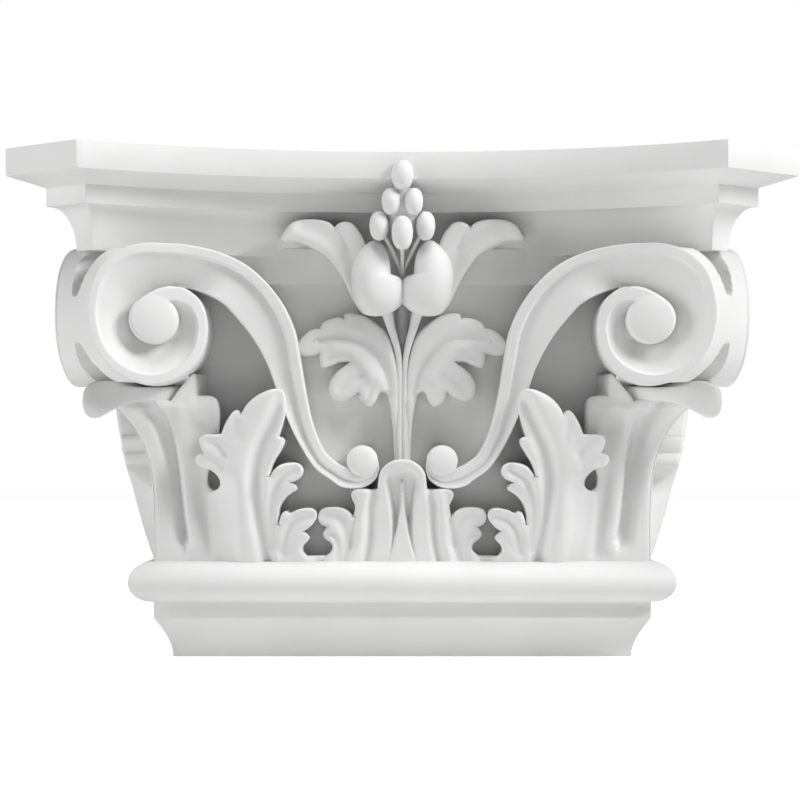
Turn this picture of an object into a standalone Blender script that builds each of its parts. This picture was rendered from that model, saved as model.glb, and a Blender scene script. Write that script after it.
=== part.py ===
"""A pilaster capital: concave abacus, four volutes on ribbons, acanthus leaves, a flower with berries.

The numbers are millimetres. u runs sideways from the middle of the front, d runs back from the plane of the
abacus' front corners, z runs up from the underside of the neck. The sides repeat the front, so a side form is
the front one mirrored in the diagonal plane u + d = HALF_WIDTH. The wall cuts everything off flat at WALL.
In the world, u is X, the front faces -Y and the middle of the neck's underside is the origin.
"""

import math

import bmesh
import bpy
import numpy as np
from mathutils import Vector
from mathutils.geometry import delaunay_2d_cdt

MM = 0.001

# The whole
HALF_WIDTH = 183.0
WALL = 120.0

# The abacus: its fascia, the slanted soffit, the fillet and the cove
TOP = 237.0
HORN_CUT = 37.2
FRONT_BOW = 50.0
FASCIA = 12.6
SOFFIT_DROP = 5.5
SOFFIT_IN = 18.4
FILLET = 8.6
FILLET_STEP = 1.4
COVE_BOTTOM = TOP - 47.0
COVE_IN = 12.5
HORN_TAPER = 0.105

# The bell and its lip
LIP_BOTTOM = COVE_BOTTOM - 13.4
LIP_OUT = 4.0
LIP_CORNER = 116.0
LIP_CUT = 4.0
PANEL = 79.0

# The bead, the fillet under it and the coved neck
BEAD_TOP = 45.6
BEAD_BOTTOM = 26.4
BEAD_OUT = 128.6
BEAD_ROOT = 117.5
NECK_FILLET_BOTTOM = 18.8
NECK_HALF = 108.9
SMALL_BEVEL = 0.6
BEAD_LEDGE = 0.6

# The volutes and the ribbons that carry them
EYE_U = 114.1
EYE_Z = 157.9
VOLUTE_FACE = 22.2
VOLUTE_SPLAY = 0.24
VOLUTE_RADIUS = 30.0
EYE_RADIUS = 11.2
RIM = 3.9
CHANNEL = 7.5
BAND_HALF = 21.0
BAND_NOTCH = 9.0
CURL_U = 19.1
CURL_Z = 93.3
CURL_RADIUS = 7.2

# The leaves: their foot's depth and lowest edge, and how far each bends outwards
LEAF_FOOT = 66.0
LEAF_BASE = 43.0
CORNER_BEND = 17.0
INNER_BEND = 23.0
MIDDLE_BEND = 13.0

# Where a corner leaf and an inner leaf run into each other, below the hole between them
MEETING_U = 89.5
MEETING_SLOPE = 0.33
HOLE_BOTTOM = 80.0

# How far a form is set into what carries it
SINK = 4.0

# Fineness of the carving
GRID = 12.5
ARC_POINTS = 2


def smooth(values, t):
    """Reads a curve through rows of numbers, the first of each being the place along it."""
    rows = np.array(values, float)
    x, y = rows[:, 0], rows[:, 1:]
    slopes = np.gradient(y, x, axis=0)
    i = int(np.clip(np.searchsorted(x, t) - 1, 0, len(x) - 2))
    step = x[i + 1] - x[i]
    s = np.clip((t - x[i]) / step, 0, 1)
    a = (1 + 2 * s) * (1 - s) ** 2 * y[i] + s * s * (3 - 2 * s) * y[i + 1]
    b = s * (1 - s) ** 2 * step * slopes[i] - s * s * (1 - s) * step * slopes[i + 1]
    return a + b


def place(point):
    u, d, z = point
    centre = (HALF_WIDTH - NECK_HALF + WALL) / 2
    return Vector((u, d - centre, z)) * MM


def side(point):
    """The same place on the side of the capital."""
    u, d, z = point
    return HALF_WIDTH - d, HALF_WIDTH - u, z


def left(point):
    u, d, z = point
    return -u, d, z


def solid(name, points, faces):
    """One closed body of carving, placed in the world, with its faces out."""
    mesh = bpy.data.meshes.new(name)
    mesh.from_pydata([place(p) for p in points], [], faces)
    work = bmesh.new()
    work.from_mesh(mesh)
    bmesh.ops.remove_doubles(work, verts=work.verts, dist=0.02 * MM)
    bmesh.ops.recalc_face_normals(work, faces=work.faces)
    work.to_mesh(mesh)
    work.free()
    made = bpy.data.objects.new(name, mesh)
    carving.objects.link(made)
    made.hide_render = True
    made.display_type = "WIRE"
    return made


def four_ways(name, points, faces, own_mirror=False):
    """A carved form on the front's right and left, and the same form on both sides."""
    solid(name + "_right", points, faces)
    solid(name + "_left", [left(p) for p in points], faces)
    if not own_mirror:
        solid(name + "_side_right", [side(p) for p in points], faces)
        solid(name + "_side_left", [left(side(p)) for p in points], faces)


def skin(rows):
    """Faces over rows of points that each go once round a closed form, with both ends closed."""
    count = len(rows[0])
    points = [p for row in rows for p in row]
    faces = [list(range(count)), list(range(len(points) - count, len(points)))]
    for r in range(len(rows) - 1):
        for c in range(count):
            n = (c + 1) % count
            a, b = r * count, (r + 1) * count
            faces.append((a + c, a + n, b + n, b + c))
    return points, faces


def tube(path, sides=8):
    """A round form along a path of (u, d, z, radius), closed at both ends."""
    rows = []
    spine = [Vector(p[:3]) for p in path]
    for i, at in enumerate(spine):
        along = (spine[min(i + 1, len(spine) - 1)] - spine[max(i - 1, 0)]).normalized()
        across = along.cross(Vector((0, 1, 0.02))).normalized()
        out = across.cross(along)
        radius = path[i][3]
        turn = [2 * math.pi * k / sides for k in range(sides)]
        rows.append([tuple(at + radius * (math.cos(a) * across + math.sin(a) * out)) for a in turn])
    return skin(rows)


def egg(centre, half_width, half_depth, half_height, lean=0.0, rings=5, sides=8):
    """A berry or a bud: an ellipsoid whose top may lean sideways."""
    u, d, z = centre
    rows = []
    for i in range(rings):
        polar = math.pi * (i + 0.5) / rings
        ring, height = math.sin(polar), -math.cos(polar)
        row = []
        for k in range(sides):
            a = 2 * math.pi * k / sides
            across = half_width * ring * math.cos(a) + lean * height
            row.append((u + across, d + half_depth * ring * math.sin(a), z + half_height * height))
        rows.append(row)
    return skin(rows)


def rounded(corners):
    """An outline through corners (u, z, radius), where each radius turns its corner into an arc."""
    outline = []
    count = len(corners)
    for i, (u, z, radius) in enumerate(corners):
        here = Vector((u, z))
        before = Vector(corners[i - 1][:2]) - here
        after = Vector(corners[(i + 1) % count][:2]) - here
        half = before.angle(after) / 2
        reach = min(radius / max(math.tan(half), 0.05), before.length * 0.49, after.length * 0.49)
        if reach < 0.2:
            outline.append((u, z))
            continue
        start, end = here + before.normalized() * reach, here + after.normalized() * reach
        for k in range(ARC_POINTS + 1):
            s = k / ARC_POINTS
            at = start * (1 - s) ** 2 + here * 2 * s * (1 - s) + end * s * s
            outline.append((at.x, at.y))
    return outline


def far_from_line(points, line, closed=False):
    """Each point's distance to a line of points."""
    at = np.array(points, float).reshape(-1, 1, 2)
    a = np.array(line, float)
    b = np.roll(a, -1, axis=0)
    if not closed:
        a, b = a[:-1], b[:-1]
    along = b - a
    s = ((at - a) * along).sum(2) / np.maximum((along**2).sum(1), 1e-9)
    near = a + np.clip(s, 0, 1)[..., None] * along
    return np.sqrt(((at - near) ** 2).sum(2)).min(1)


def inside(point, outline):
    u, z = point
    odd = False
    for (a, b), (c, e) in zip(outline, outline[1:] + outline[:1]):
        if (b > z) != (e > z) and u < a + (z - b) * (c - a) / (e - b):
            odd = not odd
    return odd


def carving_points(outline, flutes, roll):
    """Places for the face's corners: along the edge's roll, then the flutes and their flanks, then a grid."""
    ring = []
    for i, at in enumerate(outline):
        along = Vector(outline[(i + 1) % len(outline)]) - Vector(outline[i - 1])
        if along.length > 0.01:
            inward = Vector((-along.y, along.x)).normalized() * roll
            ring += [tuple(Vector(at) + inward), tuple(Vector(at) - inward)]
    lines, flanks = [], []
    for line, half, _ in flutes:
        for a, b in zip(line, line[1:]):
            a, b = Vector(a), Vector(b)
            steps = max(1, round((b - a).length / GRID))
            across = Vector((a.y - b.y, b.x - a.x)).normalized() * half
            for k in range(steps):
                at = a.lerp(b, (k + 0.5) / steps)
                lines.append(tuple(at))
                flanks += [tuple(at + across), tuple(at - across)]
    us, zs = [p[0] for p in outline], [p[1] for p in outline]
    grid = [(u, z) for z in np.arange(min(zs), max(zs), GRID) for u in np.arange(min(us), max(us), GRID)]
    kept = []
    for group, gap in ((ring, 0.28 * GRID), (lines, 0.4 * GRID), (flanks, 0.4 * GRID), (grid, 0.8 * GRID)):
        group = [p for p in group if inside(p, outline)]
        if not group:
            continue
        edge = far_from_line(group, outline, closed=True)
        for p, e in zip(group, edge):
            if e > 0.85 * roll and all(math.dist(p, q) > gap for q in kept):
                kept.append(p)
    return kept


def relief(outline, face, back, flutes=(), roll=2.5, drop=2.0):
    """A carved leaf: its outline, its face's depth, its flat back, and flutes (line, half width, depth)."""
    corners = [Vector(p) for p in outline + carving_points(outline, flutes, roll)]
    loop = [list(range(len(outline)))]
    flat, _, triangles, *_ = delaunay_2d_cdt(corners, [], loop, 1, 1e-5)
    flat = [(p.x, p.y) for p in flat]
    edge = far_from_line(flat, outline, closed=True)
    sunk = drop * (1 - np.sqrt(1 - (1 - np.minimum(edge / roll, 1)) ** 2))
    for line, half, depth in flutes:
        near = np.minimum(far_from_line(flat, line) / half, 1)
        sunk += depth * (1 - near**2) ** 2
    front = [(u, face(u, z) + s, z) for (u, z), s in zip(flat, sunk)]
    rear = [(u, back, z) for u, z in flat]
    count = len(flat)
    faces = [tuple(t) for t in triangles] + [tuple(i + count for i in reversed(t)) for t in triangles]
    uses = {}
    for t in triangles:
        for a, b in zip(t, list(t[1:]) + [t[0]]):
            uses.setdefault((min(a, b), max(a, b)), []).append((a, b))
    rim = [pairs[0] for pairs in uses.values() if len(pairs) == 1]
    faces += [(b, a, a + count, b + count) for a, b in rim]
    return front + rear, faces, rim


def bowed(middle, corner_u, corner_d, steps=10):
    """The plan curve of a bowed front, from its middle to its corner: an arc of a circle."""
    sag = middle - corner_d
    radius = (corner_u**2 + sag**2) / (2 * sag)
    turns = [math.asin(corner_u / radius) * k / steps for k in range(steps + 1)]
    return [(radius * math.sin(t), middle - radius + radius * math.cos(t)) for t in turns]


def block_line(half, z):
    """One plan line of the straight-sided lower body, with a small bevel on its corners."""
    near, bevel = HALF_WIDTH - half, SMALL_BEVEL
    right = [(half - bevel, near), (half, near + bevel), (half, WALL)]
    return [(u, d, z) for u, d in right + [(-u, d) for u, d in reversed(right)]]


def level(front, z):
    """One plan line of the abacus: the bowed front, the horns and the bowed sides back to the wall."""
    corner_u = front[-1][0]
    us = np.array([p[0] for p in front])
    ds = np.array([p[1] for p in front])
    last = HALF_WIDTH - WALL
    flank = []
    for u in np.linspace(corner_u, last, len(front) // 2 + 1):
        flank.append((HALF_WIDTH - float(np.interp(u, us, ds)), HALF_WIDTH - float(u)))
    right = front + flank
    return [(u, d, z) for u, d in right + [(-u, d) for u, d in reversed(right[1:])]]


def abacus_line(inward):
    """The abacus' plan line moved in from the fascia, with the horns narrowing as they go in."""
    corner_u = HALF_WIDTH - HORN_CUT - HORN_TAPER * inward
    return bowed(FRONT_BOW + inward, corner_u, inward)


def make_block():
    """The neck, its fillet, the bead and the bell, from the underside up."""
    rows = []
    for k in range(4):
        s = k / 3
        half = NECK_HALF + (BEAD_ROOT - NECK_HALF) * (1 - math.cos(s * math.pi / 2))
        rows.append(block_line(half, NECK_FILLET_BOTTOM * s))
    rows.append(block_line(BEAD_ROOT, BEAD_BOTTOM))
    middle, radius = (BEAD_TOP + BEAD_BOTTOM) / 2, (BEAD_TOP - BEAD_BOTTOM) / 2
    for k in range(9):
        turn = math.pi * (k / 8 - 0.5)
        half = BEAD_ROOT + BEAD_LEDGE + (BEAD_OUT - BEAD_ROOT - BEAD_LEDGE) * math.cos(turn)
        rows.append(block_line(half, middle + radius * math.sin(turn)))
    bell_half = HALF_WIDTH - PANEL
    rows.append(block_line(bell_half, BEAD_TOP))
    rows.append(block_line(bell_half, LIP_BOTTOM + SINK))
    points, faces = skin(rows)
    return solid("capital", points, faces)


def make_abacus():
    """The cove, the fillet, the slanted soffit and the fascia, and the bell's lip under them."""
    cove_in = SOFFIT_IN + FILLET_STEP + COVE_IN
    fillet_top = TOP - FASCIA - SOFFIT_DROP
    cove_top = fillet_top - FILLET
    lip = bowed(FRONT_BOW + cove_in - LIP_OUT, LIP_CORNER, HALF_WIDTH - LIP_CORNER - LIP_CUT)
    solid("lip", *skin([level(lip, LIP_BOTTOM), level(lip, COVE_BOTTOM + SINK)]))
    profile = [(cove_in, COVE_BOTTOM)]
    for k in range(1, 5):
        s = k / 4 * math.pi / 2
        rise = (cove_top - COVE_BOTTOM) * math.sin(s)
        profile.append((cove_in - COVE_IN * (1 - math.cos(s)), COVE_BOTTOM + rise))
    profile += [(SOFFIT_IN, cove_top), (SOFFIT_IN, fillet_top), (0, TOP - FASCIA), (0, TOP)]
    solid("abacus", *skin([level(abacus_line(inward), z) for inward, z in profile]))


# Rim edge (u, z), free edge (u, z) and depth of the ribbon, from its wrap round the small curl to the volute
RIBBON = (
    (0, 14.6, 98.0, 13.4, 98.6, 57.5),
    (1, 13.9, 93.2, 10.7, 93.0, 58.2),
    (2, 16.0, 88.8, 12.6, 84.4, 58.6),
    (3, 20.5, 87.3, 19.6, 80.2, 58.6),
    (4, 30.5, 92.0, 34.0, 84.3, 57.6),
    (5, 40.4, 105.5, 48.2, 100.6, 55.2),
    (6, 45.0, 123.3, 57.5, 122.3, 52.0),
    (7, 47.4, 137.6, 62.7, 137.2, 48.0),
    (8, 50.4, 154.0, 69.0, 149.2, 43.4),
    (9, 56.6, 167.4, 76.2, 158.6, 39.8),
    (10, 64.7, 177.4, 83.1, 165.8, 37.0),
    (11, 75.2, 185.3, 91.0, 170.2, 35.0),
    (12, 88.2, 190.3, 99.8, 172.8, 33.2),
    (13, 102.0, 192.8, 107.6, 171.5, 32.0),
)
# Turn in degrees, outer radius and inner radius of the spiral as shares of the volute's radius
SPIRAL = (
    (90, 1.172, 0.42),
    (120, 1.165, 0.35),
    (150, 1.065, 0.34),
    (180, 0.985, 0.35),
    (225, 0.985, 0.35),
    (267, 1.003, 0.36),
    (316, 0.917, 0.35),
    (341, 0.84, 0.34),
    (360, 0.8, 0.33),
    (380, 0.765, 0.33),
    (398, 0.705, 0.35),
    (414, 0.625, 0.37),
)


def volute_depth(u):
    """How far back the volute's face lies: it is splayed, and stands out furthest at the corner."""
    edge = EYE_U + 0.985 * VOLUTE_RADIUS
    return VOLUTE_FACE + VOLUTE_SPLAY * max(edge - u, 0)


def spiral_station(turn):
    outer, inner = smooth(SPIRAL, turn) * VOLUTE_RADIUS
    a = math.radians(turn)
    out = (EYE_U - outer * math.cos(a), EYE_Z + outer * math.sin(a))
    ins = (EYE_U - inner * math.cos(a), EYE_Z + inner * math.sin(a))
    return out, ins


def section(outer, inner, free=0.0, depth=0.0):
    """One cross-section of the band: a rim, then a channel that sinks towards the volute's coil.

    free is 1 on the ribbon, which has a depth of its own, and 0 on the volute.
    """
    outer, inner = Vector(outer), Vector(inner)
    width = (inner - outer).length
    rim = min(RIM / width, 0.45)
    deep = CHANNEL * min(1, (1 - rim) * width / 12) * (1 - 0.6 * free)
    places = (
        (0, 1.2),
        (rim * 0.3, 0),
        (rim * 0.9, 0.2),
        (rim + (1 - rim) * 0.25, deep * 0.45),
        (rim + (1 - rim) * 0.62, deep * 0.85),
        (1, deep * (1 - free)),
    )
    row = []
    for share, sunk in places:
        at = outer.lerp(inner, share)
        face = free * depth + (1 - free) * volute_depth(at.x)
        row.append((at.x, face + sunk, at.y))
    back = PANEL + SINK
    row.append((inner.x, back, inner.y))
    row.append((outer.x, back, outer.y))
    return row


def make_volutes():
    """The ribbons with their volutes: the wrap and the rise, the first turn, the inner coil and the eye."""
    last = RIBBON[-1][0]
    outer_rows = []
    for k in range(20):
        t = last * k / 19
        a, b, c, e, depth = smooth(RIBBON, t)
        outer_rows.append(section((a, b), (c, e), min(1.0, (last - t) / 2), depth))
    for turn in range(104, 271, 14):
        outer_rows.append(section(*spiral_station(turn)))
    four_ways("ribbon", *skin(outer_rows))
    inner_rows = []
    for turn in range(266, 415, 16):
        inner_rows.append(section(*spiral_station(turn)))
    four_ways("volute_coil", *skin(inner_rows))
    outline = []
    for turn in range(54, 414, 20):
        lap = min((turn - 54) / 62, 1)
        ridge = (0.625 * VOLUTE_RADIUS - EYE_RADIUS) * (1 - lap * lap * (3 - 2 * lap))
        radius = EYE_RADIUS + ridge
        a = math.radians(turn)
        outline.append((EYE_U - radius * math.cos(a), EYE_Z + radius * math.sin(a)))
    points, faces, _ = relief(outline, lambda u, z: volute_depth(u) - 0.8, PANEL + SINK, roll=4, drop=2.5)
    four_ways("volute_eye", points, faces)


def make_corner_bands():
    """The web across the corner between a front volute and a side volute, with a notch above and below."""
    edge = [spiral_station(turn)[0] for turn in range(264, 100, -6)]
    rows = []
    for k in range(11):
        z = EYE_Z + BAND_HALF * (k / 5 - 1)
        rim_u = float(np.interp(z, [p[1] for p in edge], [p[0] for p in edge])) - 0.4
        near = (rim_u, volute_depth(rim_u) + 1.2)
        far = (HALF_WIDTH - near[1], HALF_WIDTH - near[0])
        gap = (far[0] - near[0]) / 2
        notch = BAND_NOTCH * max(0, 2 * abs(z - EYE_Z) / BAND_HALF - 1) ** 1.2
        ridge = (near[0] + gap - notch, near[1] + gap + notch)
        share = 0.3 * gap
        plan = (near, (near[0] + share, near[1] + share), ridge, (far[0] - share, far[1] - share), far)
        plan += ((far[0] - 3, far[1] + 5), (near[0] - 5, far[1] + 5), (near[0] - 5, near[1] + 3))
        rows.append([(u, d, z) for u, d in plan])
    points, faces = skin(rows)
    four_ways("corner_band", points, faces, own_mirror=True)


# The hood that the corner leaf's top rolls over in: foremost line in plan, top and bottom height, how far the
# lower edge draws back, and its root in plan
HOOD = (
    (104.5, 61.0, 128.6, 121.6, 0.6, 104.0, 72.0),
    (115.4, 51.3, 127.6, 121.2, 0.8, 110.5, 67.8),
    (126.4, 45.0, 127.7, 120.0, 0.9, 117.0, 63.5),
    (134.7, 40.8, 129.7, 116.4, 1.8, 121.5, 60.0),
    (141.9, 37.3, 129.8, 113.4, 4.4, 125.4, 56.9),
    (147.3, 35.7, 127.6, 112.8, 7.2, 129.5, 53.5),
)


def corner_reach(z):
    """How far out the corner leaf's ridge stands at a height: it bends outwards towards its top."""
    return HALF_WIDTH - LEAF_FOOT + CORNER_BEND * np.clip((z - BEAD_TOP) / 72, 0, 1) ** 4.5


def make_corner_leaves():
    ridge = [(float(corner_reach(z)), z) for z in (LEAF_BASE, 66, 80, 90, 99, 106, 111.5, 115.5, 118, 122)]
    edge = (
        (128.0, 123.0, 0),
        (110.5, 122.0, 0),
        (105.5, 128.0, 4),
        (101.0, 134.0, 2),
        (96.5, 134.0, 1),
        (96.5, 123.5, 0),
        (86.3, 123.8, 5),
        (86.4, 104.0, 0),
        (92.2, 86.5, 3),
        (91.0, 78.8, 2),
        (82.0, 78.2, 0),
        (80.5, LEAF_BASE, 0),
    )
    outline = ridge + rounded(edge)

    def face(u, z):
        reach = corner_reach(z)
        share = np.clip((u - 84) / (reach - 84), 0, 1)
        depth = float(LEAF_FOOT + (HALF_WIDTH - LEAF_FOOT - reach) * (0.45 + 0.55 * share))
        return depth + (MEETING_SLOPE * max(MEETING_U - u, 0) if z < HOLE_BOTTOM else 0)

    groove = [(117.5, 118.5), (111.5, 112.0), (108.0, 101.0), (106.0, 80.0), (103.0, 57.0)]
    faint = [(92.5, 86.0), (90.5, 70.0), (88.5, 55.0)]
    hollow = [(119.0, 116.0), (114.0, 100.0), (112.0, 75.0), (111.0, 52.0)]
    flutes = ((groove, 5.0, 4.2), (faint, 4.0, 1.8), (hollow, 6.0, 1.6))
    points, faces, rim = relief(outline, face, PANEL + SINK, flutes, roll=3.0, drop=2.2)
    count = len(points) // 2
    near_ridge = [abs(u - corner_reach(z)) < 0.3 and LEAF_BASE <= z <= 122 for u, _, z in points[:count]]
    inner = HALF_WIDTH - PANEL - SINK
    for i in range(count):
        u, _, z = points[i]
        if near_ridge[i]:
            points[i] = (u, HALF_WIDTH - u, z)
        if u > inner - 12:
            share = (u - inner + 12) / (float(corner_reach(z)) - inner + 12)
            points[i + count] = (inner - 12 + 12 * share, PANEL + SINK, z)
        if near_ridge[i]:
            points[i + count] = (inner, PANEL + SINK, z)
    open_pairs = {(a, b) for a, b in rim if near_ridge[a] and near_ridge[b]}
    faces = [f for f in faces if not (len(f) == 4 and (f[1], f[0]) in open_pairs)]
    whole = points + [side(p) for p in points]
    both = faces + [tuple(i + len(points) for i in reversed(f)) for f in faces]
    four_ways("corner_leaf", whole, both, own_mirror=True)
    hood = []
    for nose_u, nose_d, top, bottom, chin, root_u, root_d in HOOD:
        out = Vector((1, -1)).normalized() if chin > 4 else Vector((0, -1))
        nose, root = Vector((nose_u, nose_d)), Vector((root_u, root_d))
        middle = (top + bottom) / 2
        profile = [(4, top), (1, (top + middle) / 2), (0, middle)]
        profile += [(0.15 * chin, (bottom + middle) / 2), (chin, bottom)]
        row = []
        for back, z in profile:
            at = nose - out * back
            row.append((at.x, at.y, z))
        for share, z in ((0.6, (bottom + middle) / 2), (1, middle), (1, top - 1.5)):
            at = nose.lerp(root, share)
            row.append((at.x, at.y, z))
        hood.append(row)
    hood[-1] = [((u + HALF_WIDTH - d) / 2, (d + HALF_WIDTH - u) / 2, z) for u, d, z in hood[-1]]
    hood += [[side(p) for p in row] for row in hood[-2::-1]]
    points, faces = skin(hood)
    four_ways("leaf_hood", points, faces, own_mirror=True)


def make_inner_leaves():
    """The acanthus leaf that stands between the corner leaf and the middle one."""
    edge = (
        (96.0, LEAF_BASE, 0),
        (95.5, 77.2, 0),
        (88.5, 78.6, 1),
        (84.6, 83.0, 3),
        (87.5, 88.4, 0),
        (95.0, 90.2, 3),
        (96.2, 95.8, 1.5),
        (92.8, 96.6, 0),
        (94.5, 105.5, 3),
        (85.6, 103.8, 0),
        (77.5, 117.5, 2),
        (75.2, 114.2, 0),
        (66.0, 124.5, 6),
        (55.5, 128.0, 4),
        (54.0, 119.0, 6),
        (57.6, 104.6, 0),
        (53.8, 103.0, 1),
        (57.0, 96.0, 0),
        (61.8, 87.0, 0),
        (52.5, 93.5, 3),
        (45.5, 89.5, 3),
        (51.2, 82.6, 0),
        (48.2, 80.5, 1),
        (55.8, 76.0, 3),
        (57.8, 64.0, 0),
        (54.0, 70.5, 1.5),
        (51.8, 68.8, 0),
        (40.0, 72.0, 3),
        (40.0, 65.0, 3),
        (46.2, 60.6, 0),
        (42.6, 57.6, 1),
        (46.5, 52.0, 2),
        (43.0, LEAF_BASE, 0),
    )
    outline = rounded(edge)

    def face(u, z):
        t = min(max((z - BEAD_TOP) / 82, 0), 1)
        depth = LEAF_FOOT - 0.5 - INNER_BEND * t * t
        return depth + (MEETING_SLOPE * max(u - MEETING_U, 0) if z < HOLE_BOTTOM else 0)

    flutes = (
        ([(60.0, 120.0), (68.0, 104.0), (71.0, 86.0), (68.0, 66.0), (64.0, 47.0)], 5.0, 3.0),
        ([(54.0, 101.0), (61.5, 92.0), (65.0, 78.0), (63.5, 62.0)], 3.5, 2.0),
        ([(50.0, 89.5), (56.0, 83.0), (61.0, 72.0), (60.0, 56.0)], 3.5, 2.2),
        ([(44.5, 68.5), (50.5, 63.5), (54.5, 54.0), (55.0, 46.0)], 3.5, 2.0),
        ([(90.5, 100.5), (84.0, 94.0), (79.5, 80.0), (75.0, 56.0)], 4.0, 2.2),
        ([(76.0, 112.0), (75.5, 98.0)], 3.0, 1.4),
    )
    points, faces, _ = relief(outline, face, PANEL + SINK, flutes, roll=2.6, drop=2.2)
    four_ways("inner_leaf", points, faces)


def make_middle_leaf():
    """The leaf in the middle of the front. The wall leaves none of it on the sides."""
    half = (
        (0.0, 94.0, 0),
        (6.5, 92.5, 3),
        (11.5, 86.0, 2),
        (11.2, 80.6, 0),
        (18.5, 80.8, 3),
        (24.0, 77.5, 2.5),
        (23.0, 67.4, 0),
        (27.5, 71.5, 2.5),
        (39.8, 70.5, 3),
        (38.8, 65.0, 1),
        (36.8, 62.6, 0),
        (37.8, 59.6, 0.6),
        (36.0, 56.0, 0.8),
        (33.0, 51.5, 0),
        (36.5, 49.0, 1),
        (35.5, LEAF_BASE, 0),
    )
    right = rounded(half)
    outline = right + [(-u, z) for u, z in reversed(right[1:])]

    def face(u, z):
        t = min(max((z - BEAD_TOP) / 48, 0), 1)
        return LEAF_FOOT - 1 - MIDDLE_BEND * t * t + 0.004 * u * u

    flutes = [([(0, 84.0), (0, 70.0), (0, 47.0)], 5.0, 5.0)]
    for sign in (1, -1):
        flutes.append(([(sign * 9.0, 86.0), (sign * 11.0, 74.0), (sign * 9.5, 48.0)], 2.6, 1.8))
        flutes.append(([(sign * 19.5, 76.5), (sign * 19.0, 66.0), (sign * 14.0, 48.0)], 3.4, 2.2))
        flutes.append(([(sign * 34.0, 67.0), (sign * 28.0, 62.0), (sign * 21.0, 48.0)], 3.6, 2.2))
    points, faces, _ = relief(outline, face, PANEL + SINK, flutes, roll=2.4, drop=2.0)
    solid("middle_leaf", points, faces)


def make_curls():
    """The round boss in the small curl where each ribbon ends."""
    points, faces = egg((CURL_U, 62.0, CURL_Z), CURL_RADIUS, 8.5, CURL_RADIUS, sides=10)
    four_ways("curl", points, faces, own_mirror=True)


def make_flower():
    leaf = (
        (3.5, 104.0, 0),
        (3.0, 122.0, 2),
        (6.0, 141.0, 4),
        (11.0, 157.0, 4),
        (19.0, 163.0, 3),
        (24.5, 162.8, 1.5),
        (26.8, 160.6, 0),
        (38.0, 158.8, 2),
        (39.0, 155.8, 0),
        (51.8, 149.5, 3),
        (49.0, 142.4, 2),
        (39.8, 143.4, 0),
        (40.5, 136.5, 2.5),
        (31.5, 137.8, 2),
        (25.8, 139.4, 0),
        (34.5, 133.0, 3),
        (34.0, 120.8, 3.5),
        (23.0, 121.6, 3),
        (20.8, 126.4, 0),
        (16.0, 118.0, 2.5),
        (11.5, 122.0, 1),
        (9.5, 124.6, 0),
        (6.6, 121.0, 1),
        (5.6, 104.0, 0),
    )
    outline = rounded(leaf)

    def face(u, z):
        return PANEL - 13 + 0.004 * (u - 20) ** 2

    flutes = (
        ([(38.0, 151.5), (27.0, 149.5), (18.5, 145.0), (12.5, 139.0), (8.0, 128.0)], 3.2, 2.2),
        ([(30.0, 126.5), (22.0, 133.0), (14.0, 134.0)], 3.2, 1.8),
        ([(16.5, 122.5), (14.0, 129.0), (10.0, 131.5)], 2.6, 1.4),
    )
    points, faces, _ = relief(outline, face, PANEL + SINK, flutes, roll=2.4, drop=2.4)
    four_ways("flower_leaf", points, faces, own_mirror=True)
    petal = (
        (59.5, 21.9, 1.2),
        (53.5, 29.4, 4),
        (42.0, 31.9, 6),
        (31.8, 26.6, 0),
        (27.5, 29.9, 2),
        (19.5, 27.4, 4),
        (16.0, 13.4, 0),
        (17.5, -12.6, 0),
        (24.0, -8.6, 3),
        (31.0, 10.4, 6),
        (41.0, 18.9, 5),
    )
    outline = [(u, LIP_BOTTOM + up) for u, up in rounded(petal)]

    def petal_face(u, z):
        return PANEL - 16 - 0.16 * max(z - LIP_BOTTOM + 11.6, 0) - 0.05 * max(u - 25, 0)

    line = [(u, LIP_BOTTOM + up) for u, up in ((51.0, 23.9), (38.0, 22.4), (29.0, 15.4), (22.0, -2.6))]
    crease = [(line, 3.4, 2.0)]
    points, faces, _ = relief(outline, petal_face, PANEL + SINK, crease, roll=2.4, drop=1.8)
    four_ways("petal", points, faces, own_mirror=True)
    bud_top = LIP_BOTTOM + 19.8
    points, faces = egg((14.3, 60.5, bud_top - 17.8), 9.2, 9.6, 17.8, lean=-0.4, rings=7, sides=10)
    four_ways("bud", points, faces, own_mirror=True)
    points, faces = egg((12.1, 61.0, bud_top - 25.2), 11.9, 10.2, 10.2, rings=6, sides=10)
    four_ways("bud_swelling", points, faces, own_mirror=True)
    rise = TOP - bud_top
    front = FRONT_BOW + SOFFIT_IN
    for name, u, d, share, half_width, half_height in (
        ("berry_upper", 5.4, 16.9, 0.434, 4.2, 0.15),
        ("berry_lower", 11.3, 13.9, 0.158, 4.2, 0.165),
    ):
        points, faces = egg((u, front - d, bud_top + share * rise), half_width, 5.5, half_height * rise)
        four_ways(name, points, faces, own_mirror=True)
    solid("berry_top", *egg((0, front - 19.9, bud_top + 0.734 * rise), 5.2, 5.4, 0.172 * rise))
    solid("berry_middle", *egg((0, front - 17.9, bud_top + 0.074 * rise), 5.0, 5.4, 0.2 * rise))
    core = ((0, PANEL - 5, bud_top - 20.4, 6.0), (0, PANEL - 9, bud_top - 6, 8.0))
    core += ((0, front - 8.4, bud_top + 0.24 * rise, 10.0), (0, front - 12.4, bud_top + 0.63 * rise, 4.0))
    solid("berry_core", *tube(core))
    stem = ((9.0, 66.0, LIP_BOTTOM - 10.6, 2.0), (5.5, 67.0, 155.0, 2.1), (3.0, 68.5, 142.0, 2.2))
    stem += ((2.2, 69.5, 120.0, 2.4), (2.2, 70.5, 96.0, 2.8), (2.2, 71.0, 84.0, 3.0))
    points, faces = tube(stem)
    four_ways("stem", points, faces, own_mirror=True)
    foot = ((0, 76.0, 160.0, 4.0), (0, 76.0, 120.0, 5.0), (0, 76.0, 84.0, 5.0))
    solid("stem_foot", *tube(foot))


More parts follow.
